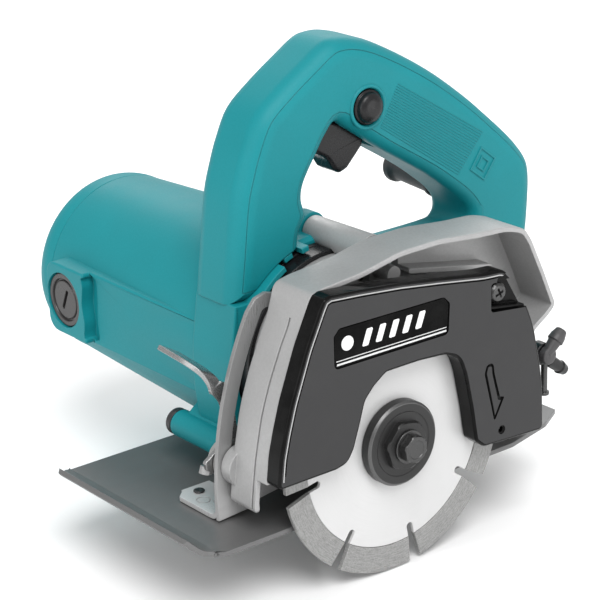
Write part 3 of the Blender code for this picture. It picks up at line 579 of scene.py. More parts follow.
def moulded(name, colour, rough, grain=1500, depth=0.02, gloss=0.5, wear=0.25):
    """Moulded plastic: fine spark texture, faint flow mottling and slightly lighter edges."""
    s = Shader(name)
    mottle = s.noise(22, detail=3)
    fine = s.noise(grain, detail=2)
    base = s.mix(s.span(mottle, 0, 1), shade(colour, 0.95), shade(colour, 1.05))
    base = s.mix(s.span(fine, 0, 0.25), base, shade(colour, 0.8))
    lighter = tuple(channel * 0.8 + 0.12 for channel in colour)
    s.set("Base Color", s.mix(s.edge_wear(0.7, wear), base, lighter))
    s.set("Roughness", s.math("ADD", s.span(mottle, rough - 0.05, rough + 0.05), s.span(fine, -0.03, 0.04)))
    s.set("Specular IOR Level", gloss)
    s.bumps([(fine, depth), (s.noise(260, detail=2), depth * 0.8)], 0.5)
    return s.material


def lacquered(name, colour, rough, wear, gloss=0.5, radius=0.4):
    """Coated sheet metal: orange peel, dust and light edges."""
    s = Shader(name)
    peel = s.noise(420, detail=2)
    dust = s.noise(60, detail=5, rough=0.7)
    base = s.mix(s.span(dust, 0, 0.35, 0.45, 0.8), colour, tuple(channel + 0.02 for channel in colour))
    s.set("Base Color", s.mix(s.edge_wear(0.6, wear), base, tuple(channel + 0.2 for channel in colour)))
    s.set("Roughness", s.span(dust, rough, rough + 0.12))
    s.set("Specular IOR Level", gloss)
    s.bumps([(peel, 0.012)], radius)
    return s.material


def casting(name, colour):
    """Die-cast metal with a satin skin, fine pits and cleaner edges."""
    s = Shader(name)
    skin = s.noise(900, detail=4, rough=0.7)
    cloud = s.noise(35, detail=4)
    base = s.mix(s.span(cloud, 0, 1), shade(colour, 0.93), shade(colour, 1.05))
    base = s.mix(s.span(skin, 0, 0.3), base, shade(colour, 0.72))
    s.set("Base Color", s.mix(s.edge_wear(0.8, 0.6), base, shade(colour, 1.35)))
    s.set("Metallic", 0.35)
    s.set("Roughness", s.span(skin, 0.35, 0.54))
    s.bumps([(skin, 0.03), (s.noise(150, detail=3), 0.04)], 0.6)
    return s.material


def brushed(name, colour, rough, stretch, scale=1200, depth=0.01, metallic=1, wear=0.4, contrast=0.12,
            foot=None):
    """Rolled or brushed metal: streaks along one axis, scratches and bright edges, and with a foot colour a
    painted highlight that lightens the low parts.
    """
    s = Shader(name)
    streak = s.noise(scale, stretch=stretch, detail=3, rough=0.6)
    broad = s.noise(30, stretch=tuple(0.3 + 0.7 * part for part in stretch), detail=4)
    base = s.mix(s.span(streak, 0, 1), shade(colour, 1 - contrast), shade(colour, 1 + contrast))
    base = s.mix(s.span(broad, 0, 0.5), base, shade(colour, 1 - 1.6 * contrast))
    # Painted highlight: low down, at the height of the bracket's foot, the colour goes over to the foot
    # colour, standing for the sky light on its upward face.
    if foot is not None:
        height = s.node("ShaderNodeSeparateXYZ", Vector=s.place).outputs[2]
        base = s.mix(s.span(height, 1, 0, CENTRE.z - 20 * MM, CENTRE.z + 6 * MM), base, foot)
    s.set("Base Color", s.mix(s.edge_wear(0.5, wear), base, shade(colour, 1.5)))
    s.set("Metallic", metallic)
    s.set("Roughness", s.math("ADD", s.span(streak, rough - 0.06, rough + 0.08), s.span(broad, -0.04, 0.06)))
    s.bumps([(streak, depth)], 0.3)
    return s.material


def polar(s):
    """Distance from the spindle's axis and angle about it, as shader values."""
    offset_node = s.node("ShaderNodeVectorMath")
    offset_node.operation = "SUBTRACT"
    s.feed(offset_node.inputs[0], s.place)
    offset_node.inputs[1].default_value = tuple(CENTRE)
    parts = s.node("ShaderNodeSeparateXYZ", Vector=offset_node.outputs[0])
    x, z = parts.outputs[0], parts.outputs[2]
    radius = s.math("SQRT", s.math("ADD", s.math("MULTIPLY", x, x), s.math("MULTIPLY", z, z)))
    angle = s.math("ARCTAN2", z, x)
    return radius, angle


def ground_disc(name, colour, rough, metallic):
    """Ground steel with rings about the spindle and a painted reflection: a soft darkening of the colour that
    turns with the angle.
    """
    s = Shader(name)
    radius, angle = polar(s)
    rings = s.drawn_noise(s.math("MULTIPLY", radius, 3000), s.math("MULTIPLY", angle, 1.5), 3)
    painted_sheen = s.math("SINE", s.math("MULTIPLY", angle, 2))
    base = s.mix(s.span(rings, 0, 1), shade(colour, 0.97), shade(colour, 1.01))
    # Painted reflection: the colour darkens in two opposite sectors about the spindle.
    base = s.mix(s.span(painted_sheen, 0, 0.4, -1, 1), base, shade(colour, 0.86))
    base = s.mix(s.span(s.noise(70, detail=5), 0, 0.2, 0.5, 0.8), base, shade(colour, 0.8))
    s.set("Base Color", base)
    s.set("Metallic", metallic)
    s.set("Roughness", s.span(rings, rough - 0.05, rough + 0.1))
    s.bumps([(rings, 0.002)], 0.25)
    return s.material


def sintered(name):
    """Diamond segment: radial grinding streaks over speckled sintered metal."""
    s = Shader(name)
    radius, angle = polar(s)
    streaks = s.drawn_noise(s.math("MULTIPLY", angle, 14), s.math("MULTIPLY", radius, 2200), 4)
    grit = s.noise(1900, detail=3, rough=0.7)
    base = s.mix(s.span(streaks, 0, 1, 0.35, 0.65), (0.2, 0.2, 0.198), (0.31, 0.31, 0.306))
    base = s.mix(s.span(grit, 0, 0.5, 0.45, 0.62), base, (0.42, 0.42, 0.41))
    s.set("Base Color", s.mix(s.edge_wear(0.4, 0.5), base, (0.7, 0.7, 0.68)))
    s.set("Metallic", 0.45)
    s.set("Roughness", s.span(grit, 0.45, 0.75))
    s.bumps([(grit, 0.06), (streaks, 0.05)], 0.2)
    return s.material


def layered(name, colour, scale, stretch, detail, tones, roughness, depth):
    """Bare metal in fine layers: the wires of a winding or the sheets of a stack."""
    s = Shader(name)
    layers = s.noise(scale, stretch=stretch, detail=detail)
    s.set("Base Color", s.mix(s.span(layers, 0, 1), shade(colour, tones[0]), shade(colour, tones[1])))
    s.set("Metallic", 0.8)
    s.set("Roughness", s.span(layers, *roughness))
    s.bumps([(layers, depth)])
    return s.material


TEAL = (0.0055, 0.215, 0.243)
MATERIALS = {
    "teal": moulded("teal_plastic", TEAL, 0.48, gloss=0.22),
    "black": moulded("black_plastic", (0.008, 0.008, 0.009), 0.3, 900, 0.008, 0.35, 0.1),
    "brush_black": moulded("black_cap_plastic", (0.03, 0.028, 0.028), 0.3, wear=0.2),
    "rubber": moulded("dark_rubber", (0.05, 0.048, 0.05), 0.5, 800, 0.03, wear=0.15),
    "cover_side": lacquered("cover_side_gloss", (0.002, 0.002, 0.002), 0.12, wear=0.06, gloss=0.12),
    "cover_face": lacquered("cover_face_satin", (0.028, 0.028, 0.029), 0.45, wear=0.1, gloss=0.3),
    # A light grey finish: a painted highlight for the cover's front and top edges.
    "cover_highlight_bead": lacquered("cover_highlight_bead", (0.42, 0.42, 0.42), 0.2, wear=0.1),
    "label": lacquered("label_gloss", (0.001, 0.001, 0.001), 0.2, radius=0.15, wear=0.02, gloss=0.06),
    "label_ink": lacquered("label_ink", (0.85, 0.85, 0.85), 0.35, radius=0.1, wear=0),
    "silver_line": brushed("silver_line", (0.75, 0.75, 0.75), 0.25, (0.05, 1, 1)),
    "cast": casting("die_cast_silver", (0.39, 0.39, 0.39)),
    "plate": brushed("base_steel", (0.15, 0.15, 0.15), 0.38, (0.03, 1, 1), 2600, 0.004, 0.35, 0.25),
    # The last colour is a painted highlight on the bracket's upward-facing foot.
    "sheet": brushed("bright_sheet_painted_lit_foot", (0.24, 0.24, 0.24), 0.32, (1, 1, 0.05), 3200, 0.002, 0.3, 0.9, 0.05,
                     (0.6, 0.6, 0.6)),
    "lever": brushed("lever_steel", (0.34, 0.34, 0.34), 0.26, (1, 0.05, 1), 3200, 0.002, 0.85, 1, 0.06),
    "zinc": brushed("zinc_steel", (0.5, 0.5, 0.49), 0.32, (1, 0.3, 1), 700, 0.01, 0.9),
    "dark_steel": brushed("blackened_steel", (0.06, 0.06, 0.062), 0.34, (1, 0.3, 1), 700, 0.008, 0.6),
    "bolt_steel": brushed("dark_bolt_steel", (0.09, 0.09, 0.09), 0.3, (1, 0.3, 1), 900, 0.006, 0.9, 0.5),
    "flange_rim": brushed("turned_rim", (0.12, 0.12, 0.12), 0.34, (1, 1, 1), 1500, 0.004, 0.7),
    "core": ground_disc("ground_blade_steel", (0.6, 0.6, 0.6), 0.36, 0.15),
    "flange": ground_disc("blackened_flange", (0.03, 0.03, 0.03), 0.36, 0.5),
    "segment": sintered("sintered_segment"),
    "copper": layered("copper_winding", (0.6, 0.24, 0.1), 900, (1, 0.02, 1), 2, (0.5, 1.2), (0.25, 0.5),
                      0.15),
    "laminated": layered("laminated_steel", (0.3, 0.3, 0.31), 1400, (0.01, 1, 0.01), 1, (0.6, 1.1),
                         (0.4, 0.65), 0.08),
    "brass": brushed("pressed_brass", (0.7, 0.5, 0.2), 0.3, (1, 0.2, 1)),
    "carbon": moulded("carbon_block", (0.02, 0.02, 0.02), 0.7, 2200, 0.05),
}

# ---------------------------------------------------------------- handle and motor

HANDLE = [(42, 34), (41.4, 52), (38.8, 72), (36, 92.7), (32.6, 104.5), (28.5, 115), (22.5, 125.6),
          (11, 134.6), (-2, 142.8), (-11, 148), (-17.5, 149), (-25, 148), (-36, 144),
          (-52.5, 135.2), (-69, 124.8), (-85.6, 112.3), (-97, 102.6), (-107.4, 93.3), (-114.6, 85.8),
          (-119.4, 79), (-121, 71), (-120.6, 60), (-119.4, 48), (-117, 38), (-108, 30.6),
          (-94, 30), (-20, 30), (20, 28)]
LOOP = [(7.4, 58), (7.2, 67), (6.2, 75), (2.8, 82), (4.2, 88.6), (2.8, 95), (-3, 104),
        (-8.6, 112), (-13.6, 116.2), (-20, 112.2), (-29, 105.9), (-38.8, 99.1), (-50, 92), (-62.2, 84.1),
        (-73, 76), (-80.9, 69.2), (-85, 63.2), (-84, 57.6), (-76, 56), (-40, 56), (-8, 56)]
HANDLE_FAR = -75
HANDLE_NEAR = -45
PARTING_GAP = 0.13
PARTING_DEPTH = -48.7
COVER_INSET = 4.6
LOOP_INSET = 4.4
COVER_RADIUS = 44.2
RELIEF_FOOT = -45.3
RIB_TOP = -44.78
MARK_TOP = -44.55


def handle_outlines():
    """The handle's outer edge and its opening."""
    return spline(HANDLE), spline(LOOP)


def handle_blank():
    """The whole D-handle with rounded edges, before the near half is parted from it."""
    outer, loop = handle_outlines()
    blank = solid("handle_blank", slab(outer, HANDLE_FAR, HANDLE_NEAR, 8.5, 8.5, [loop], 5.5, 7))
    cut(blank, box(33, 70, 20, 52.4), -90, -30)
    bore(blank, -50.4, -30, 46.6, MOTOR_AXIS, 112)
    corner = arc((-53, 60.4), 8, 270, 360, 10) + [(-40, 60.4), (-40, 50), (-53, 50)]
    return cut(blank, corner, 20, 70, place_side)


def parting_tool(gap):
    """A prism inside the near face, along the parting line, grown by the gap."""
    outer, loop = handle_outlines()
    inner = offset(outer, COVER_INSET - gap)
    kept = [point for point in inner if point[1] > 54 or point[0] < -60 and point[1] > 42]
    hole = offset(loop, gap - LOOP_INSET)
    tool = solid("parting", slab(kept, PARTING_DEPTH - gap, -30))
    cut(tool, hole, -60, -20)
    for left, right, foot in ((-140, -60, 47 - gap), (-60, 60, 57.6 - gap)):
        cut(tool, box(left, right, 20, foot), -60, -20)
    cut(tool, fillet([(-90, 30, 0), (4, 30, 0), (4, 66, 0), (-90, 66, 2)]), -60, -20)
    bore(tool, -70, -20, COVER_RADIUS - gap, MOTOR_AXIS, 64)
    return tool


def grip_panel():
    """Fine ribs along the near side of the grip."""
    build = bmesh.new()
    count = 19
    near_a, near_b = Vector((-43.6, 126.6)), Vector((-34.2, 110.6))
    far_a, far_b = Vector((-90, 97.2)), Vector((-76.2, 81.8))
    for index in range(count):
        share = index / (count - 1)
        start = near_a.lerp(near_b, share)
        end = far_a.lerp(far_b, share)
        inwards = (end - start).normalized() * 0.3
        foot = bar(start, end, 0.34)
        crest = bar(start + inwards, end - inwards, 0.136)
        low = [build.verts.new(at(p.x, RELIEF_FOOT, p.y)) for p in foot]
        high = [build.verts.new(at(p.x, RIB_TOP, p.y)) for p in crest]
        build.faces.new(low)
        build.faces.new(high)
        bridge(build, [(low, high)])
    return build


def insulation_mark():
    """Two nested raised squares."""
    build = bmesh.new()
    corners = [Vector((-88.9, 91.2)), Vector((-97, 84.8)), Vector((-90.4, 76.4)), Vector((-82.4, 82.6))]
    middle = sum(corners, Vector((0, 0))) / 4
    for size in (1, 0.5):
        rings = []
        for inset, y in ((0, RELIEF_FOOT), (0, MARK_TOP), (0.9, MARK_TOP), (0.9, RELIEF_FOOT)):
            ring = []
            for corner in corners:
                way = corner - middle
                place = middle + way * size - way.normalized() * inset
                ring.append(build.verts.new(at(place.x, y, place.y)))
            rings.append(ring)
        bridge(build, zip(rings, rings[1:] + rings[:1]))
    return build


def lug(centre, radius, y0, y1):
    """A screw boss with a web back to the barrel."""
    back = Vector(MOTOR_AXIS) - Vector(centre)
    direction = math.degrees(math.atan2(back.y, back.x))
    root = Vector(centre) + back.normalized() * (back.length - LUG_ROOT)
    web = arc(centre, radius - 1.6, direction + 90, direction + 270, 20)
    web += arc(tuple(root), radius + 0.5, direction - 90, direction + 90, 4)
    boss = solid("screw_boss", slab(circle(centre, radius), y0, y1, 0.5, 0.8, steps=3))
    return join(boss, slab(web, y0 + 4, y1, 0.6, 1.6))


def sideways(outline, side, inner, outer, rounding=0):
    """A slab between two distances from the motor's axis, its outer edge rounded."""
    low, high = sorted((MOTOR_AXIS[0] + side * inner, MOTOR_AXIS[0] + side * outer))
    near, far = (rounding, 0) if side > 0 else (0, rounding)
    return slab(outline, low, high, near, far, place=place_side)


def brush_side(housing, side):
    """Flat duct, brush boss and cooling pocket on one side of the barrel."""
    duct = box(-150, -60, 8, 40.6, 0.6)
    joined_to_barrel(housing, sideways(duct, side, 20, 43.4, 1.2))
    boss = fillet([(-178.6, 8.6, 6.5), (-149.6, 8.6, 1), (-149.6, 40.4, 1), (-178.6, 40.4, 6.5)], 6)
    joined_to_barrel(housing, sideways(boss, side, 18, 47, 1))
    pocket = spline([(-150.6, 11), (-150.2, 18), (-151.4, 26), (-150.2, 34), (-150.8, 38.4), (-144.8, 38),
                     (-144.2, 30), (-145, 20), (-144.6, 11.4)], 4)
    carve(housing, sideways(pocket, side, 41, 60))
    carve(housing, turned([(36, 12.3), (60, 12.3)], BRUSH_ORIGIN, (side, 0, 0), 48))


def bore_tool():
    """The barrel's hollow, a little into its wall so that every joined piece ends inside the wall."""
    return along_y([(-190, 39), (-60, 44.1), (-40, 44.1)], MOTOR_AXIS, 96)


def joined_to_barrel(housing, build):
    """Joins a piece to the barrel without leaving any of it in the hollow."""
    extra = build if isinstance(build, bpy.types.Object) else solid("extra", build)
    join(housing, carve(extra, bore_tool()))


def build_handle_cover(blank):
    cover = copy(blank, "handle_cover_shell")
    carve(cover, parting_tool(0), "INTERSECT")
    join(cover, along_y([(-47, 9.2), (-44.7, 9.2), (-44.3, 8.8)], LOCK_AXIS, 56))
    carve(cover, along_y([(-60, 7.5), (-44.9, 7.5), (-44.2, 8.1), (-20, 8.1)], LOCK_AXIS, 56))
    finish_piece(cover, "teal", "handle_cover", sharp=32)


def build_motor():
    blank = handle_blank()
    build_handle_cover(blank)
    carve(blank, parting_tool(PARTING_GAP))
    bore(blank, -57, -20, 8.6, LOCK_AXIS, 32)
    slot = [(-4, 103), (-1.4, 113), (-9, 122.5), (-20, 119), (-36.2, 112.6), (-40, 105.5), (-36, 97),
            (-14, 110.5)]
    cut(blank, slot, -67.6, -52.4)
    profile = [(-50, 42.9, 0), (-50, 44.4, 0.5), (-51.8, 45.8, 1), (-72, 45.8, 30), (-185, 40.8, 0.4),
               (-185, 37.6, 0)]
    housing = solid("motor_housing_shell", spun(profile, 4, MOTOR_AXIS, 112))
    apron = [(34, -12, 4), (41.6, -2, 16), (43.9, 12, 40), (43.9, 30, 40), (40.6, 53.2, 0.6), (20, 53.2, 0),
             (10, 20, 0), (16, -12, 0)]
    skirt = solid("apron", slab(fillet(apron), -71.5, -45.2, 0.8, 1.2))
    bore(skirt, -47.3, -40, 6, SCREW_AXES["front"], 40)
    joined_to_barrel(housing, skirt)
    for start, end, near in ((33, 61.5, -41), (65.5, 71, -45.2), (75.5, 80, -43.4)):
        steps = round(end - start)
        tooth = arc(MOTOR_AXIS, 46.2, start, end, steps) + arc(MOTOR_AXIS, 43.6, end, start, steps)
        joined_to_barrel(housing, slab(tooth, -56, near, 0.4, 0))
    for name, radius, far in (("front", 5.7, -83), ("rear", 5.7, -83), ("top", 7, -66)):
        near = -58.3 if name == "top" else -50.2
        joined_to_barrel(housing, lug(SCREW_AXES[name], radius, far, near))
    for side in (1, -1):
        brush_side(housing, side)
    joined_to_barrel(housing, blank)
    finish_piece(housing, "teal", "motor_housing", sharp=32)
    piece("grip_ribs", grip_panel(), "teal")
    piece("insulation_mark", insulation_mark(), "teal")


def build_rear_cap():
    profile = [(-185.3, 37.4, 0), (-185.3, 40.7, 0.4), (-191.5, 41, 20), (-197.6, 38.6, 6), (-199.4, 26, 20),
               (-199.6, 0.6, 0), (-196, 0.6, 0), (-196, 26, 6), (-191.5, 36.4, 6)]
    cap = solid("rear_cap_shell", spun(profile, 7, MOTOR_AXIS, 96))
    for index in range(16):
        angle = math.radians(11.25 + 22.5 * index)
        way = Vector((math.cos(angle), math.sin(angle)))
        middle = Vector(MOTOR_AXIS)
        outline = corners_of(bar(middle + way * 12, middle + way * 27, 1.5), 1.4)
        cut(cap, fillet(outline, 3), -205, -190)
    bore(cap, -205, -198.6, 6, MOTOR_AXIS, 48)
    finish_piece(cap, "teal", "rear_end_cap", sharp=30)


def build_brush_caps():
    profile = fillet([(37, 0.2, 0), (37, 11.9, 0), (46.2, 11.9, 0.5), (46.2, 9.7, 0.4), (45, 9.3, 0.2),
                      (45, 8.7, 0.2), (45.9, 8.3, 0.4), (45.9, 0.2, 0)], 4)
    for name, side in (("front", 1), ("rear", -1)):
        cap = solid(f"brush_cap_{name}_disc", turned(profile, BRUSH_ORIGIN, (side, 0, 0), 72, closed=True))
        tilt = Matrix.Rotation(math.radians(-25 * side), 2)
        slot = [tuple(Vector(BRUSH) + tilt @ Vector(point)) for point in box(-0.9, 0.9, -5, 5, 0.8, 4)]
        carve(cap, sideways(slot, side, 44.4, 50))
        finish_piece(cap, "brush_black", f"brush_cap_{name}")


def cross_slot(thing, centre, y, side, size, depth):
    """Cuts a cross recess into a screw head that faces the near side, 1, or the far side, -1."""
    turn = Vector((0, side, 0)).to_track_quat("Z", "X")
    for quarter in (0, 1):
        build = bmesh.new()
        verts = []
        for along, widen in ((-depth, 0.45), (0.6, 1)):
            for a, b in ((-1, -1), (1, -1), (1, 1), (-1, 1)):
                local = Vector((a * size * widen, b * size * 0.2 * (0.6 + 0.4 * widen), along))
                local.rotate(Matrix.Rotation(math.radians(90 * quarter + 20), 3, "Z"))
                local.rotate(turn)
                verts.append(build.verts.new(at(centre[0] + local.x, y + local.y, centre[1] + local.z)))
        build.faces.new(verts[:4])
        build.faces.new(verts[4:])
        bridge(build, [(verts[:4], verts[4:])])
        carve(thing, build)


def build_screws():
    for name, centre in SCREW_AXES.items():
        head, radius = (-63.3, 3) if name == "top" else (-83.2, 5.6)
        profile = [(-30, 0.3, 0), (-30, 2.2, 0.3), (head, 2.2, 0), (head, radius, 0.3),
                   (head - 0.5 * radius, radius, 0.9), (head - 0.8 * radius, 0.6 * radius, 1.2),
                   (head - 0.82 * radius, 0.3, 0)]
        screw = solid(f"housing_screw_{name}_turned", spun(profile, 4, centre, 40))
        cross_slot(screw, centre, head - 0.82 * radius, -1, radius * 0.55, radius * 0.4)
        finish_piece(screw, "dark_steel", f"housing_screw_{name}")


def build_controls():
    dome = [(-50.6, 0.06, 0), (-50.6, 8.4, 0.3), (-49.4, 8.4, 0.3), (-49.4, 7.1, 0.2), (-44.5, 7.1, 0.6),
            (-44.2, 6.3, 0.2), (-42.2, 5.9, 1.8), (-40.8, 3.6, 4), (-40.5, 0.06, 0)]
    piece("lock_button_dome", spun(dome, 8, LOCK_AXIS), "black", "lock_button", body="button")
    shape = [(-3.4, 112, 3), (-9, 116.6, 3.5), (-20, 114, 3), (-33.6, 105.8, 1.5), (-33, 101.6, 2.5),
             (-24.8, 93.4, 3), (-20.8, 92, 2.2), (-18, 93.8, 2), (-14.6, 99.3, 9), (-9.6, 102.2, 8),
             (-6, 106, 6)]
    build = slab(fillet(shape), -67, -54, 1.8, 1.8)
    piece("trigger_moulding", build, "black", "trigger", body="trigger_body")


def build_cord_guard():
    profile = [(-75.2, 4, 0), (-75.2, 8.6, 0.6), (-77.6, 8.4, 0.8), (-78.6, 7.4, 1), (-90, 6.7, 60),
               (-99.6, 6, 3), (-101.6, 7.3, 1.2), (-105, 7.3, 1.3), (-105.2, 4, 0.4), (-102, 3.6, 0)]
    piece("cord_sleeve", spun(profile, 5, CORD_AXIS), "rubber", "cord_guard")


# ---------------------------------------------------------------- gear housing and blade case

def build_gear_housing():
    ring = circle(MOTOR_AXIS, 41, 96)
    housing = solid("gear_housing_casting", slab(ring, HOUSING_BACK, HOUSING_FRONT, 0.6, 1.2))
    join(housing, slab(circle(SPINDLE, SEAT_RADIUS, 64), HOUSING_BACK, HOUSING_FRONT, 0.6, 1.2))
    for name in ("front", "rear"):
        join(housing, lug(SCREW_AXES[name], 5.3, HOUSING_BACK, HOUSING_FRONT))
    join(housing, along_y([(-57.9, 5.4), (-57.4, 6), (-21.4, 6.4)], SCREW_AXES["top"], 48))
    web = [(-5.6, 60, 0), (-5.6, 70, 1.5), (-12.4, 70, 1.5), (-12.4, 60, 0)]
    join(housing, slab(fillet(web, 3), -44, -22, 0.5, 0.5))
    bore(housing, -43.5, -10, 37.6, MOTOR_AXIS, 64)
    bore(housing, -43.5, -10, 18.7, SPINDLE, 64)
    for angle in (55, 130, 165, 200):
        ends = [Vector(on_circle(MOTOR_AXIS, radius, angle)) for radius in (38.8, 42.4)]
        outline = [(*corner, radius) for corner, radius in zip(bar(*ends, 1.3), (0, 0.7, 0.7, 0))]
        join(housing, slab(fillet(outline, 3), -45.5, -22.5, 0.4, 0.4))
    finish_piece(housing, "cast", "gear_housing", sharp=32)
    # The baffle is a black plastic part; its black is also painted shade, standing for the shade in the gap
    # between the case and the motor housing.
    plate = slab(circle(MOTOR_AXIS, 43.4, 96), -49.7, -47, 0.5, 0.5, [circle(MOTOR_AXIS, 16.5)], 0.3)
    baffle = solid("baffle_ring", plate)
    join(baffle, slab(circle(MOTOR_AXIS, 43, 96), -48.5, -39.5, 0.6, 0, [circle(MOTOR_AXIS, 41.3, 96)]))
    for name in ("front", "rear"):
        bore(baffle, -60, -30, 6.6, SCREW_AXES[name], 40)
    cut(baffle, circle(SPINDLE, 21.2, 64), -46.5, -30)
    bore(baffle, -60, -40, 6.6, SCREW_AXES["top"], 32)
    finish_piece(baffle, "black", "baffle_plate")


CASE_FRONT = [(65.2, -12.6, 2.6), (63.9, -2, 40), (62.4, 8, 60), (58.8, 25, 80), (53.9, 38.4, 80),
              (48.4, 50.5, 60), (44.6, 57.6, 30), (40.6, 70.2, 5)]
CASE_TOP = [(33, 71.6, 20), (15, 73.1, 60), (-4, 76.8, 40), (-24, 77, 60), (-45, 74.8, 80),
            (-60, 74, 30), (-69.6, 71, 8), (-73.6, 65, 12), (-80.6, 50, 60), (-87.4, 34.2, 3.2),
            (-83, 30.6, 2), (-75.5, 26, 2)]


CASE_BACK = -21
CASE_FLOOR = -17
CASE_RIM = 1


def case_lower():
    """The case's lower edge, round the base's pivot and the gear seat."""
    ends = [(-74, 16, 6), (-80, 2, 8)]
    pivot = corners_of(arc(BASE_PIVOT, 6, 150, 270, 8))
    seat = corners_of(arc(SPINDLE, SEAT_RADIUS, 205, 330, 24))
    return ends + pivot + [(-60, -15, 4), (-19, -9.6, 6)] + seat + [(50, -13.5, 4), (60, -14.8, 4)]


def build_case():
    outline = fillet(CASE_FRONT + CASE_TOP + case_lower(), 7)
    case = solid("blade_case_casting", slab(outline, CASE_BACK, CASE_RIM, 0.5, 1.2, steps=4))
    wall = fillet(CASE_FRONT + CASE_TOP, 7)
    inner = offset(wall, 2)
    inner = [point for point in inner if point[1] > 27.5 or point[0] > 0 and point[1] > -9]
    inner = [(62, -60)] + inner + [(-73.8, 24.8), (-96, 24.8), (-96, -60)]
    cavity = solid("case_cavity", slab(inner, CASE_FLOOR, 10))
    bore(cavity, -30, -8, 19.5, SPINDLE, 64)
    carve(cavity, along_y([(-30, 5), (0.9, 4.6)], COVER_SCREW, 32))
    bore(cavity, -30, -13, 6, BASE_PIVOT, 32)
    rib = fillet([(-17, 62.2, 1), (-17, 64.2, 0.8), (-61, 55.6, 0.8), (-61, 53.6, 1)], 3)
    cut(cavity, rib, -20, -9)
    carve(cavity, along_y([(-30, 3.6), (-8, 3.3)], (-8.4, 64.2), 32))
    carve(case, cavity)
    triangle = fillet([(6, 64.2, 1), (-3.4, 66, 1.2), (-3.8, 58.8, 1)], 4)
    cut(case, triangle, -30, -10)
    wedge = corners_of([(-13.2, 68), (-18.2, 68.8), (-18.2, 62.6), (-13.2, 63.4)], 0.5)
    cut(case, fillet(wedge, 3), -30, -10)
    cut(case, box(50, 80, -40, 0.6), -5.2, 10)
    front_out = [point for point in offset(wall, -1) if point[0] > 43 and -14 < point[1] < 66]
    front_in = [point for point in offset(wall, 1.1) if point[0] > 42 and -14 < point[1] < 66]
    cut(case, front_out + front_in[::-1], -7.5, -6.6)
    tip = arc((-7.4, -11.4), 2.2, 270, 360, 8) + [(-4, -11.4), (-4, -18), (-7.4, -18)]
    cut(case, tip, 54, 75, place_side)
    join(case, along_y([(-23.7, 7.8), (-23.3, 8.2), (-18, 8.2)], CLAMP_AXIS, 56))
    bore(case, -19, -4, 16.4, SPINDLE, 56)
    bore(case, -30, -4, 8, SPINDLE, 40)
    bore(case, -30, -16, 3.3, CLAMP_AXIS, 24)
    bore(case, -30, -8, 2.3, BASE_PIVOT, 24)
    finish_piece(case, "cast", "blade_case", sharp=34)


COVER = [(64.1, 1, 2), (62.6, 12.9, 30), (60.2, 22.3, 60), (56.8, 33.4, 60), (49, 53.1, 60), (41.9, 67.2, 10),
         (40, 70.4, 2.2), (37, 71.4, 3), (23, 70.2, 60), (3, 68, 80), (-17, 65, 80), (-40, 61.2, 60),
         (-50.6, 60.4, 7), (-56, 54.6, 10), (-63.6, 41.6, 40), (-67.2, 32.9, 60), (-71.1, 14.5, 60),
         (-72.5, 3, 40), (-72.8, -14.2, 2), (-56, -13.4, 20), (-40, -12.4, 4), (-35.6, -8.6, 3),
         (-34.6, -3, 8), (-33.2, 6, 40), (-29.8, 22, 30), (-26.6, 30, 9), (-19.6, 32.8, 7), (-6.2, 33.8, 30),
         (10.6, 33.8, 5), (16.6, 29.8, 8), (21.2, 25.2, 8), (23.6, 17.6, 20), (27.2, 7.2, 10), (30.4, 2.2, 6),
         (36, 1, 6)]


COVER_BACK = 1.3
COVER_POCKET = 6.6
COVER_SATIN = 8.75
COVER_FACE = 9
PAST_COVER = 12


def ring_tool(outline, outer_inset, inner_inset, y0, y1):
    """A frame-shaped cutter that follows an outline."""
    return slab(trimmed(outline, outer_inset), y0, y1, holes=[trimmed(outline, inner_inset)])


def front_part(foot, inner, outer):
    """An area that holds only the front and top stretch of the cover's edge."""
    return [(90, foot), (90, 90), (-58, 90), (-58, 57), (inner, 57), (outer, foot)]


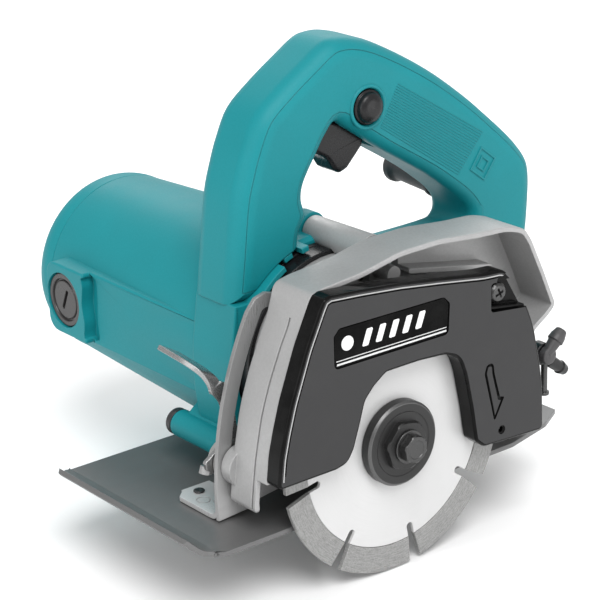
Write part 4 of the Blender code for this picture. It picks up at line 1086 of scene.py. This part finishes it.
def build_cover():
    outline = fillet(COVER, 7)
    cover = solid("blade_cover_shell", slab(outline, COVER_BACK, COVER_FACE, 1.1, 0.3, steps=4))
    pocket = solid("cover_pocket", slab(trimmed(outline, 2), -5, COVER_POCKET))
    seat = fillet([(-66, 41, 0), (-41.5, 41, 2), (-41.5, 66, 0), (-66, 66, 0)], 3)
    cut(pocket, seat, 1, PAST_COVER)
    carve(cover, pocket)
    # A raised ridge in light grey, kept only along the front and top stretch of the edge: a painted highlight
    # where the light catches that edge.
    highlight_bead = solid("cover_highlight_bead_line", ring_tool(outline, 1.75, 2.2, 8.7, 9.16))
    cut(highlight_bead, box(-80, -45, 41, 58), 0, PAST_COVER)
    carve(highlight_bead, slab(front_part(4, 34, 46), 0, PAST_COVER), "INTERSECT")
    finish_piece(highlight_bead, "cover_highlight_bead")
    groove = solid("cover_groove", ring_tool(outline, 2.4, 3, 8.3, PAST_COVER))
    carve(groove, slab(front_part(6, 30, 50), 0, PAST_COVER + 2), "INTERSECT")
    carve(cover, groove)
    recess = fillet([(-43.6, 56.2, 1.6), (-43.6, 44, 1.6), (-80, 39.5, 0), (-80, 52, 0)], 5)
    cut(cover, recess, 4, PAST_COVER)
    notch = fillet([(-47, 57.6, 1.2), (-46.4, 53, 1.2), (-60, 50, 0), (-60, 60, 0)], 3)
    cut(cover, notch, COVER_POCKET, PAST_COVER)
    ledge = fillet([(-44.6, 45.8, 0.4), (-44.6, 44.6, 0.4), (-63.2, 41.5, 0.4), (-62.8, 42.7, 0.4)], 3)
    join(cover, slab(ledge, 3.8, 7.6, 0.3, 0))
    cut(cover, label_outline(-0.5), 8.1, PAST_COVER)
    arrow = fillet([(-40, 19, 2.6), (-41.4, 22.8, 2), (-44.9, 22.6, 2), (-45.4, 18, 10), (-48.4, 7.2, 0),
                    (-50.8, 6.4, 0.3), (-45.4, -3, 0.6)], 5)
    inside = fillet([(-41.1, 19, 1.8), (-42, 21.8, 1), (-44.2, 21.6, 1), (-44.5, 18, 10), (-47.6, 6.2, 0),
                     (-49.3, 5.6, 0.1), (-45.7, -1, 0.2)], 5)
    cut(cover, arrow, 8.2, PAST_COVER)
    join(cover, slab(inside, 7.6, 8.98, 0.3, 0))
    carve(cover, along_y([(5, 1.3), (8.3, 1.3), (8.4, 1.9), (PAST_COVER, 1.9)], (-49.4, -7.6), 32))
    mesh = cover.data
    mesh.materials.clear()
    mesh.materials.append(MATERIALS["cover_side"])
    mesh.materials.append(MATERIALS["cover_face"])
    face_y = at(0, COVER_SATIN, 0).y
    for polygon in mesh.polygons:
        polygon.material_index = 1 if polygon.center.y > face_y and polygon.normal.y > 0.99 else 0
    finish_piece(cover, None, "blade_cover", sharp=30)


LABEL_FACE = 8.75
LABEL_INK_FOOT = 8.7


def label_outline(inset):
    """The label's edge, moved inwards, or outwards if negative."""
    shape = [(35.6, 42.2, 1.6), (35.6, 54.8, 1.4), (33.2, 57.2, 1.6), (-18.6, 56.4, 2), (-21.4, 53.6, 1.6),
             (-20.6, 41.6, 1.6)]
    return offset(fillet(shape, 5), inset)


def build_label():
    piece("label_panel", slab(label_outline(0), 8.2, LABEL_FACE, 0.2), "label", "label_plate")
    lines = []
    for low, high in ((42.9, 43.7), (44.5, 44.9)):
        line = [(35, low), (34.6, high), (-20, high - 0.5), (-20, low - 0.5)]
        lines.append(slab(line, LABEL_INK_FOOT, 8.98, 0.1, steps=2))
    piece("label_lines", merged(lines), "silver_line")
    shapes = []
    for index in range(5):
        left = 19.4 - 6.6 * index
        corners = [(left, 47.4), (left + 3, 47.4), (left + 0.4, 54), (left - 2.6, 54)]
        shapes.append(fillet(corners_of(corners, 0.5), 3))
    shapes.append(circle((29.4, 50.8), 2.9, 32))
    emblem = merged(slab(shape, LABEL_INK_FOOT, 8.95, 0.08, steps=2) for shape in shapes)
    piece("label_pattern", emblem, "label_ink")
    head = [(-8, 0.06, 0), (-8, 2, 0.3), (4.2, 2, 0), (4.2, 4.3, 0.3), (5.8, 4.3, 0.6), (7, 3.2, 1),
            (7.4, 0.06, 0)]
    screw = solid("cover_screw_turned", spun(head, 5, COVER_SCREW, 48))
    cross_slot(screw, COVER_SCREW, 7.4, 1, 2.9, 1.6)
    finish_piece(screw, "bolt_steel", "cover_screw")


# ---------------------------------------------------------------- blade

def build_blade():
    pitch = 360 / SEGMENTS
    near = math.degrees(SLIT_HALF / CORE_RADIUS)
    far = math.degrees(2.9 / BLADE_RADIUS)
    outline = []
    for index in range(SEGMENTS):
        middle = SEGMENT_PHASE + pitch * index
        outline += arc(on_circle(SPINDLE, 40, middle), SLIT_HALF, middle - 90, middle - 270, 10)
        outline += arc(SPINDLE, CORE_RADIUS + 0.1, middle + near, middle + pitch - near, 20)
    core = slab(outline, -0.7, 0.7, 0.12, 0.12, [circle(SPINDLE, 10, 64)], 0.1, 2)
    piece("blade_disc", core, "core", "blade_core", body="blade")
    for index in range(SEGMENTS):
        start = SEGMENT_PHASE + pitch * index
        end = start + pitch
        corners = arc(SPINDLE, BLADE_RADIUS - 0.1, start + far, end - far, 24)
        corners += arc(SPINDLE, CORE_RADIUS + 0.25, end - near, start + near, 20)
        block = slab(fillet(corners_of(corners), 1), -1, 1, 0.2, 0.2, steps=2)
        piece(f"segment_{index + 1}", block, "segment", f"blade_segment_{index + 1}", body="blade")


RIM_INNER = 16.4
RIM_OUTER = 17.38


def hexagon(across_flats, turn, reach):
    """The radius of a hexagon whose corners stop at a reach, as a function of the angle."""
    def radius(degrees):
        return min(across_flats / 2 / math.cos(math.radians((degrees + turn + 30) % 60 - 30)), reach)
    return radius


def build_flange():
    hub = hexagon(18.6, 12, 10.3)
    rim = [(1, 4.3), (1, 17.2), (1.3, 17.4), (4.9, 17.4), (5.7, 16.6), (5.8, 16.3), (5.8, 13.4), (5.5, 13),
           (5.5, 11.6), (5.6, hub), (8, hub), (8.5, hexagon(18.6, 12, 9.5)), (8.6, 7.2), (8.6, 4.3)]
    flange = solid("outer_flange_turned", along_y(rim, SPINDLE, 96, closed=True))
    mesh = flange.data
    mesh.materials.append(MATERIALS["flange"])
    mesh.materials.append(MATERIALS["flange_rim"])
    for polygon in mesh.polygons:
        middle = polygon.center - CENTRE
        reach = math.hypot(middle.x, middle.z) / MM
        polygon.material_index = 1 if RIM_INNER < reach < RIM_OUTER and polygon.normal.y > 0.3 else 0
    finish_piece(flange, None, "outer_flange", body="blade", sharp=25)
    ring = [(8.7, 4.3, 0.1), (8.7, 6.8, 0.2), (9.7, 6.8, 0.3), (9.7, 4.3, 0.1)]
    piece("washer_ring", spun(ring, 3, SPINDLE), "bolt_steel", "washer", body="blade")
    head = hexagon(10.4, 20, 5.8)
    bolt = [(-12, 0.06), (-12, 3.7), (9.8, 3.7), (9.8, head), (13.1, head), (13.5, hexagon(10.4, 20, 5.2)),
            (13.6, 4.6), (13.6, 3.9), (13.3, 3.6), (13.3, 0.06)]
    build = along_y(bolt, SPINDLE, 72, closed=True)
    piece("hex_bolt_head", build, "bolt_steel", "hex_bolt", body="blade", sharp=25)


# ---------------------------------------------------------------- base

def build_base():
    mid = BASE_TOP - SOLE_HALF
    sweep = [(-104.5, mid), (-60, mid), (20, mid), (78, mid), (84, mid + 0.2), (89, mid + 1.6),
             (93.2, mid + 5.6)]
    smooth = spline(sweep, 6, closed=False)
    upper = []
    lower = []
    for index, point in enumerate(smooth):
        before = Vector(smooth[max(0, index - 1)])
        after = Vector(smooth[min(len(smooth) - 1, index + 1)])
        way = (after - before).normalized()
        normal = Vector((-way.y, way.x))
        upper.append(tuple(Vector(point) + normal * SOLE_HALF))
        lower.append(tuple(Vector(point) - normal * SOLE_HALF))
    plate = solid("sole_plate", slab(upper + lower[::-1], -105, -2.8))
    near_front = [(80, -2.6, 0), (89.5, -8, 5), (96, -14, 0), (120, -14, 0), (120, 10, 0), (80, 10, 0)]
    near_rear = [(-66, -2.6, 0), (-91.8, -8.6, 8), (-104.8, -16, 0), (-130, -16, 0), (-130, 10, 0),
                 (-66, 10, 0)]
    far_front = [(86, -105.2, 0), (94.6, -97, 0), (120, -97, 0), (120, -130, 0), (86, -130, 0)]
    far_rear = [(-98, -105.2, 0), (-104.8, -98, 0), (-130, -98, 0), (-130, -130, 0), (-98, -130, 0)]
    for corner in (near_front, near_rear, far_front, far_rear):
        cut(plate, fillet(corner), -40, 10, place_flat)
    bevel(plate, 0.45)
    ear = [(-91, BASE_TOP - 0.6, 0), (-73, BASE_TOP - 0.6, 0), (-76.6, -12, 0)]
    ear += corners_of(arc(BASE_PIVOT, 5.5, 0, 180, 14))
    join(plate, slab(fillet(ear, 3), -24.3, -21.8, 0.3, 0.3, steps=2))
    bore(plate, -30, -15, 2.3, BASE_PIVOT, 24)
    finish_piece(plate, "plate", "base_plate", body="base", sharp=30)


def bracket_outline():
    """The slotted upright's outline about the base's pivot, and its slot's two end angles."""
    rest = math.degrees(math.atan2(CLAMP_AXIS[1] - BASE_PIVOT[1], CLAMP_AXIS[0] - BASE_PIVOT[0]))
    top = rest + 24
    low = math.degrees(math.asin((BASE_TOP + 0.3 - BASE_PIVOT[1]) / SLOT_RADIUS))
    outer = arc(BASE_PIVOT, BRACKET_OUTER, low + 0.4, top - 0.6, 30)
    inner = arc(BASE_PIVOT, BRACKET_INNER, top - 0.6, low + 0.4, 30)
    past = ((149.4, 1.6), (145.8, 3.1), (140.6, 3.7), (135.4, 3.1), (132.2, 1.6))
    tip = [on_circle(BASE_PIVOT, radius, top + degrees) for radius, degrees in past]
    return outer + tip + inner, rest, top


def build_bracket():
    outline, rest, top = bracket_outline()
    bracket = solid("depth_bracket_sheet", slab(outline, -26, -24, 0.25, 0.25, steps=2))
    foot_z = BASE_TOP + 1.35
    path = [(59.6, -25, foot_z + 7), (59.6, -25.05, foot_z + 3.6), (59.6, -26.4, foot_z + 1),
            (59.6, -29.4, foot_z), (59.6, -40, foot_z), (59.6, -54, foot_z)]
    join(bracket, strip(path, (1, 0, 0), 8.9, 2, 6, 0.25))
    slot = arc(BASE_PIVOT, SLOT_RADIUS + SLOT_HALF, rest, top, 24)
    slot += arc(on_circle(BASE_PIVOT, SLOT_RADIUS, top), SLOT_HALF, top, top + 180, 10)[1:-1]
    slot += arc(BASE_PIVOT, SLOT_RADIUS - SLOT_HALF, top, rest, 24)
    slot += arc(on_circle(BASE_PIVOT, SLOT_RADIUS, rest), SLOT_HALF, rest + 180, rest + 360, 10)[1:-1]
    cut(bracket, slot, -30, -20)
    corner = fillet([(64.6, -56, 0), (64.4, -53.4, 0), (68.8, -49.4, 0), (72, -49.4, 0), (72, -56, 0)], 2)
    cut(bracket, corner, BASE_TOP - 2, BASE_TOP + 6, place_flat)
    rivet_hole = circle(RIVET, 1.8, 24)
    cut(bracket, rivet_hole, BASE_TOP - 3, BASE_TOP + 5, place_flat)
    dimple = slab(circle(DIMPLE, 2.9, 32), BASE_TOP + 2, BASE_TOP + 4, place=place_flat,
                  holes=[circle(DIMPLE, 2.5, 32)])
    carve(bracket, dimple)
    cut(bracket, circle((61, -36.6), 0.5, 16), BASE_TOP + 1.9, BASE_TOP + 4, place_flat)
    finish_piece(bracket, "sheet", "depth_guide_bracket", body="base", sharp=34)
    # The rivet head is blackened steel; its dark colour is painted shade that stands for the shade inside the
    # hole in the foot.
    head = [(-24.3, 0.2, 0), (-24.3, 1.5, 0.1), (-19.95, 1.5, 0), (-19.95, 2.4, 0.2), (-19.4, 2.2, 0.3),
            (-19.2, 1.4, 0.3), (-19.5, 0.2, 0)]
    build = turned(fillet(head, 4), (*RIVET, 0), (0, 0, 1), 32, closed=True)
    piece("bracket_rivet_head", build, "dark_steel", "bracket_rivet", body="base")


# ---------------------------------------------------------------- clamp and water feed

def build_clamp():
    shape = corners_of(arc(CLAMP_AXIS, 8.4, 165, 330, 24))
    shape += [(69.6, -1.6, 1.2), (70.2, 1.6, 1.2), (64.4, 5.4, 4), (59.4, 14, 12), (61.4, 24, 8),
              (66.6, 30.6, 1), (59.6, 33, 1.5), (55.6, 22, 10), (54, 10, 10)]
    lever = solid("clamp_lever_sheet", slab(fillet(shape, 6), -30.6, -28.6, 0.3, 0.3, steps=2))
    path = [(62.6, -29.6, 27), (63.4, -29.7, 31), (64.6, -31.4, 34.6), (66.4, -34.6, 37.4), (67.6, -41, 39.2),
            (68.2, -52.6, 40.6)]

    def width(share):
        return 3.4 + 1.8 * share
    join(lever, strip(path, (0.86, 0, 0.51), width, 2, 6, 0.3))
    lip = [(65.6, -29.6, -2.6), (68, -29.9, -2.6), (69.2, -31.2, -2.4), (69.6, -32.8, -2.2)]
    join(lever, strip(lip, (0.3, 0, -0.95), 1.7, 1.3, 5, 0.3))
    bore(lever, -40, -20, 3.3, CLAMP_AXIS, 32)
    finish_piece(lever, "lever", "clamp_lever", body="lever", sharp=34)
    stud = [(-17.3, 0.2, 0), (-17.3, 3, 0.3), (-36, 3, 0.5), (-36, 0.2, 0)]
    piece("clamp_stud", spun(stud, 3, CLAMP_AXIS, 40), "zinc", "clamp_bolt")
    flats = hexagon(11.4, 8, 6.2)
    nut = [(-31.3, 3.3), (-31.3, flats), (-34.5, flats), (-35, hexagon(11.4, 8, 5.6)), (-35, 3.3)]
    piece("clamp_nut_hex", along_y(nut, CLAMP_AXIS, 72, closed=True), "zinc", "clamp_nut", sharp=25)
    ring = [(-26.3, 3.3, 0.1), (-26.3, 8.6, 0.3), (-28.2, 8.6, 0.3), (-28.2, 3.3, 0.1)]
    piece("clamp_washer_ring", spun(ring, 3, CLAMP_AXIS), "zinc")


def build_water():
    y = WATER_PLANE
    drum = [(y - 4.4, 0.06, 0), (y - 4.4, 4.8, 0.8), (y + 1, 4.8, 0.6), (y + 1, 0.06, 0)]
    body = solid("valve_body_moulding", spun(drum, 4, COCK_AXIS, 40))
    join(body, turned([(0, 3.4), (17, 3.4)], (-90, y - 1.6, 9), (1, 0, 0), 32))
    finish_piece(body, "black", "water_valve_body")
    hub = [(y + 1.3, 0.06, 0), (y + 1.3, 3.9, 0.3), (y + 4.4, 3.7, 0.7), (y + 4.8, 2.2, 0.3),
           (y + 4.9, 0.06, 0)]
    cock = solid("water_cock_arm", spun(hub, 4, COCK_AXIS, 40))
    arm = [(0, 0.06, 0), (0, 2.2, 0.3), (6.4, 2.9, 0.4), (6.8, 3.5, 0.3), (9.2, 3.3, 0.5), (12.4, 2.3, 0.9),
           (12.6, 0.06, 0)]
    join(cock, turned(fillet(arm, 4), (-89.2, y + 2.9, 9.8), (-0.72, 0, 0.69), 32, closed=True))
    finish_piece(cock, "rubber", "water_cock_lever", body="water_cock")
    barb = [(0, 1.4, 0), (0, 2.8, 0.3), (7.6, 2.5, 0.3), (8.2, 3, 0.2), (11.8, 2.3, 0.4), (11.8, 1.5, 0.2),
            (6, 1.4, 0)]
    build = turned(fillet(barb, 4), (-93.2, y, 5.4), (-0.8, 0, -0.6), 36, closed=True)
    piece("hose_barb_moulding", build, "black", "hose_barb")
    screw = fillet([(-9.6, 0.06, 0), (-9.6, 2.2, 0.5), (-8, 2.2, 0.3), (-8, 1.4, 0), (4.7, 1.4, 0.2),
                    (4.7, 0.06, 0)], 3)
    build = turned(screw, (-90.9, y, 0), (0, 0, 1), 32, closed=True)
    piece("valve_screw_turned", build, "bolt_steel", "valve_screw")


# ---------------------------------------------------------------- carried-over CAD nodes

CAD_MATERIALS = {
    "zinc": ["inner_flange", "spindle", "driven_gear", "pinion", "armature_shaft", "pivot_pin",
             "spindle_bearing_front", "spindle_bearing_rear", "armature_bearing_front",
             "armature_bearing_rear"],
    "copper": ["field_coil_upper", "field_coil_lower", "commutator"],
    "laminated": ["armature_core", "stator_core"],
    "brass": ["brush_holder_front", "brush_holder_rear"],
    "carbon": ["carbon_brush_front", "carbon_brush_rear"],
    "black": ["fan", "switch_body"],
}


def dress_cad():
    """Materials for the CAD nodes that stay as they are."""
    for material, names in CAD_MATERIALS.items():
        for name in names:
            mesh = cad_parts[name].data
            mesh.materials.clear()
            mesh.materials.append(MATERIALS[material])


# ---------------------------------------------------------------- stage

def build_stage():
    low, high = cad_bounds
    floor_z = min(low[2], high[2]) - FLOOR_GAP
    build = bmesh.new()
    rim = [build.verts.new((a * FLOOR_REACH, b * FLOOR_REACH, floor_z)) for a, b in circle((0, 0), 1, 64)]
    build.faces.new(rim)
    mesh = bpy.data.meshes.new("studio_floor")
    build.to_mesh(mesh)
    build.free()
    floor = placed("studio_floor", mesh)
    paper = Shader("studio_paper")
    cloud = paper.span(paper.noise(6), 0, 1)
    paper.set("Base Color", paper.mix(cloud, (0.91, 0.91, 0.91), (0.93, 0.93, 0.93)))
    paper.set("Roughness", 0.8)
    paper.bumps([(paper.noise(900), 0.02)])
    mesh.materials.append(paper.material)


def area_light(name, place, target, size, power):
    data = bpy.data.lights.new(name, "AREA")
    data.shape = "RECTANGLE"
    data.size, data.size_y = size
    data.energy = power
    lamp = placed(name, data)
    lamp.location = place
    lamp.rotation_euler = (target - place).to_track_quat("-Z", "Y").to_euler()


def build_lights():
    world = bpy.data.worlds.new("studio")
    world.use_nodes = True
    tree = world.node_tree
    background = tree.nodes["Background"]
    background.inputs["Color"].default_value = (1, 1, 1, 1)
    seen = tree.nodes.new("ShaderNodeLightPath").outputs["Is Camera Ray"]
    level = tree.nodes.new("ShaderNodeMapRange")
    level.inputs["To Min"].default_value = 0.62
    level.inputs["To Max"].default_value = 0.92
    tree.links.new(seen, level.inputs["Value"])
    tree.links.new(level.outputs[0], background.inputs["Strength"])
    bpy.context.scene.world = world
    target = at(-20, -60, 50)
    sun = bpy.data.lights.new("key", "SUN")
    sun.energy = 2.3
    sun.angle = math.radians(35)
    key = placed("key", sun)
    key.rotation_euler = Vector((-270, -560, -850)).to_track_quat("-Z", "Y").to_euler()
    area_light("fill", at(900, 100, 350), target, (0.8, 0.6), 2.2)
    area_light("rim", at(-500, -700, 600), target, (0.8, 0.5), 3.4)
    area_light("hood", at(-260, 620, 160), at(-30, -10, 60), (0.5, 0.4), 1)


def build_camera():
    """The photograph's viewing angle: a long lens from the blade's side, a little above."""
    data = bpy.data.cameras.new("camera")
    data.lens = 130.6
    data.shift_x = 0.0241
    data.shift_y = -0.0086
    camera = placed("camera", data)
    camera.location = at(507.4, 591.5, 345.9)
    camera.rotation_euler = [math.radians(angle) for angle in (69.924, 1.86, 141.659)]
    bpy.context.scene.camera = camera


def build_saw():
    build_motor()
    build_rear_cap()
    build_brush_caps()
    build_screws()
    build_controls()
    build_cord_guard()
    build_gear_housing()
    build_case()
    build_cover()
    build_label()
    build_blade()
    build_flange()
    build_base()
    build_bracket()
    build_clamp()
    build_water()
    dress_cad()


build_saw()
build_stage()
build_lights()
build_camera()
bpy.context.scene.view_settings.view_transform = "Standard"
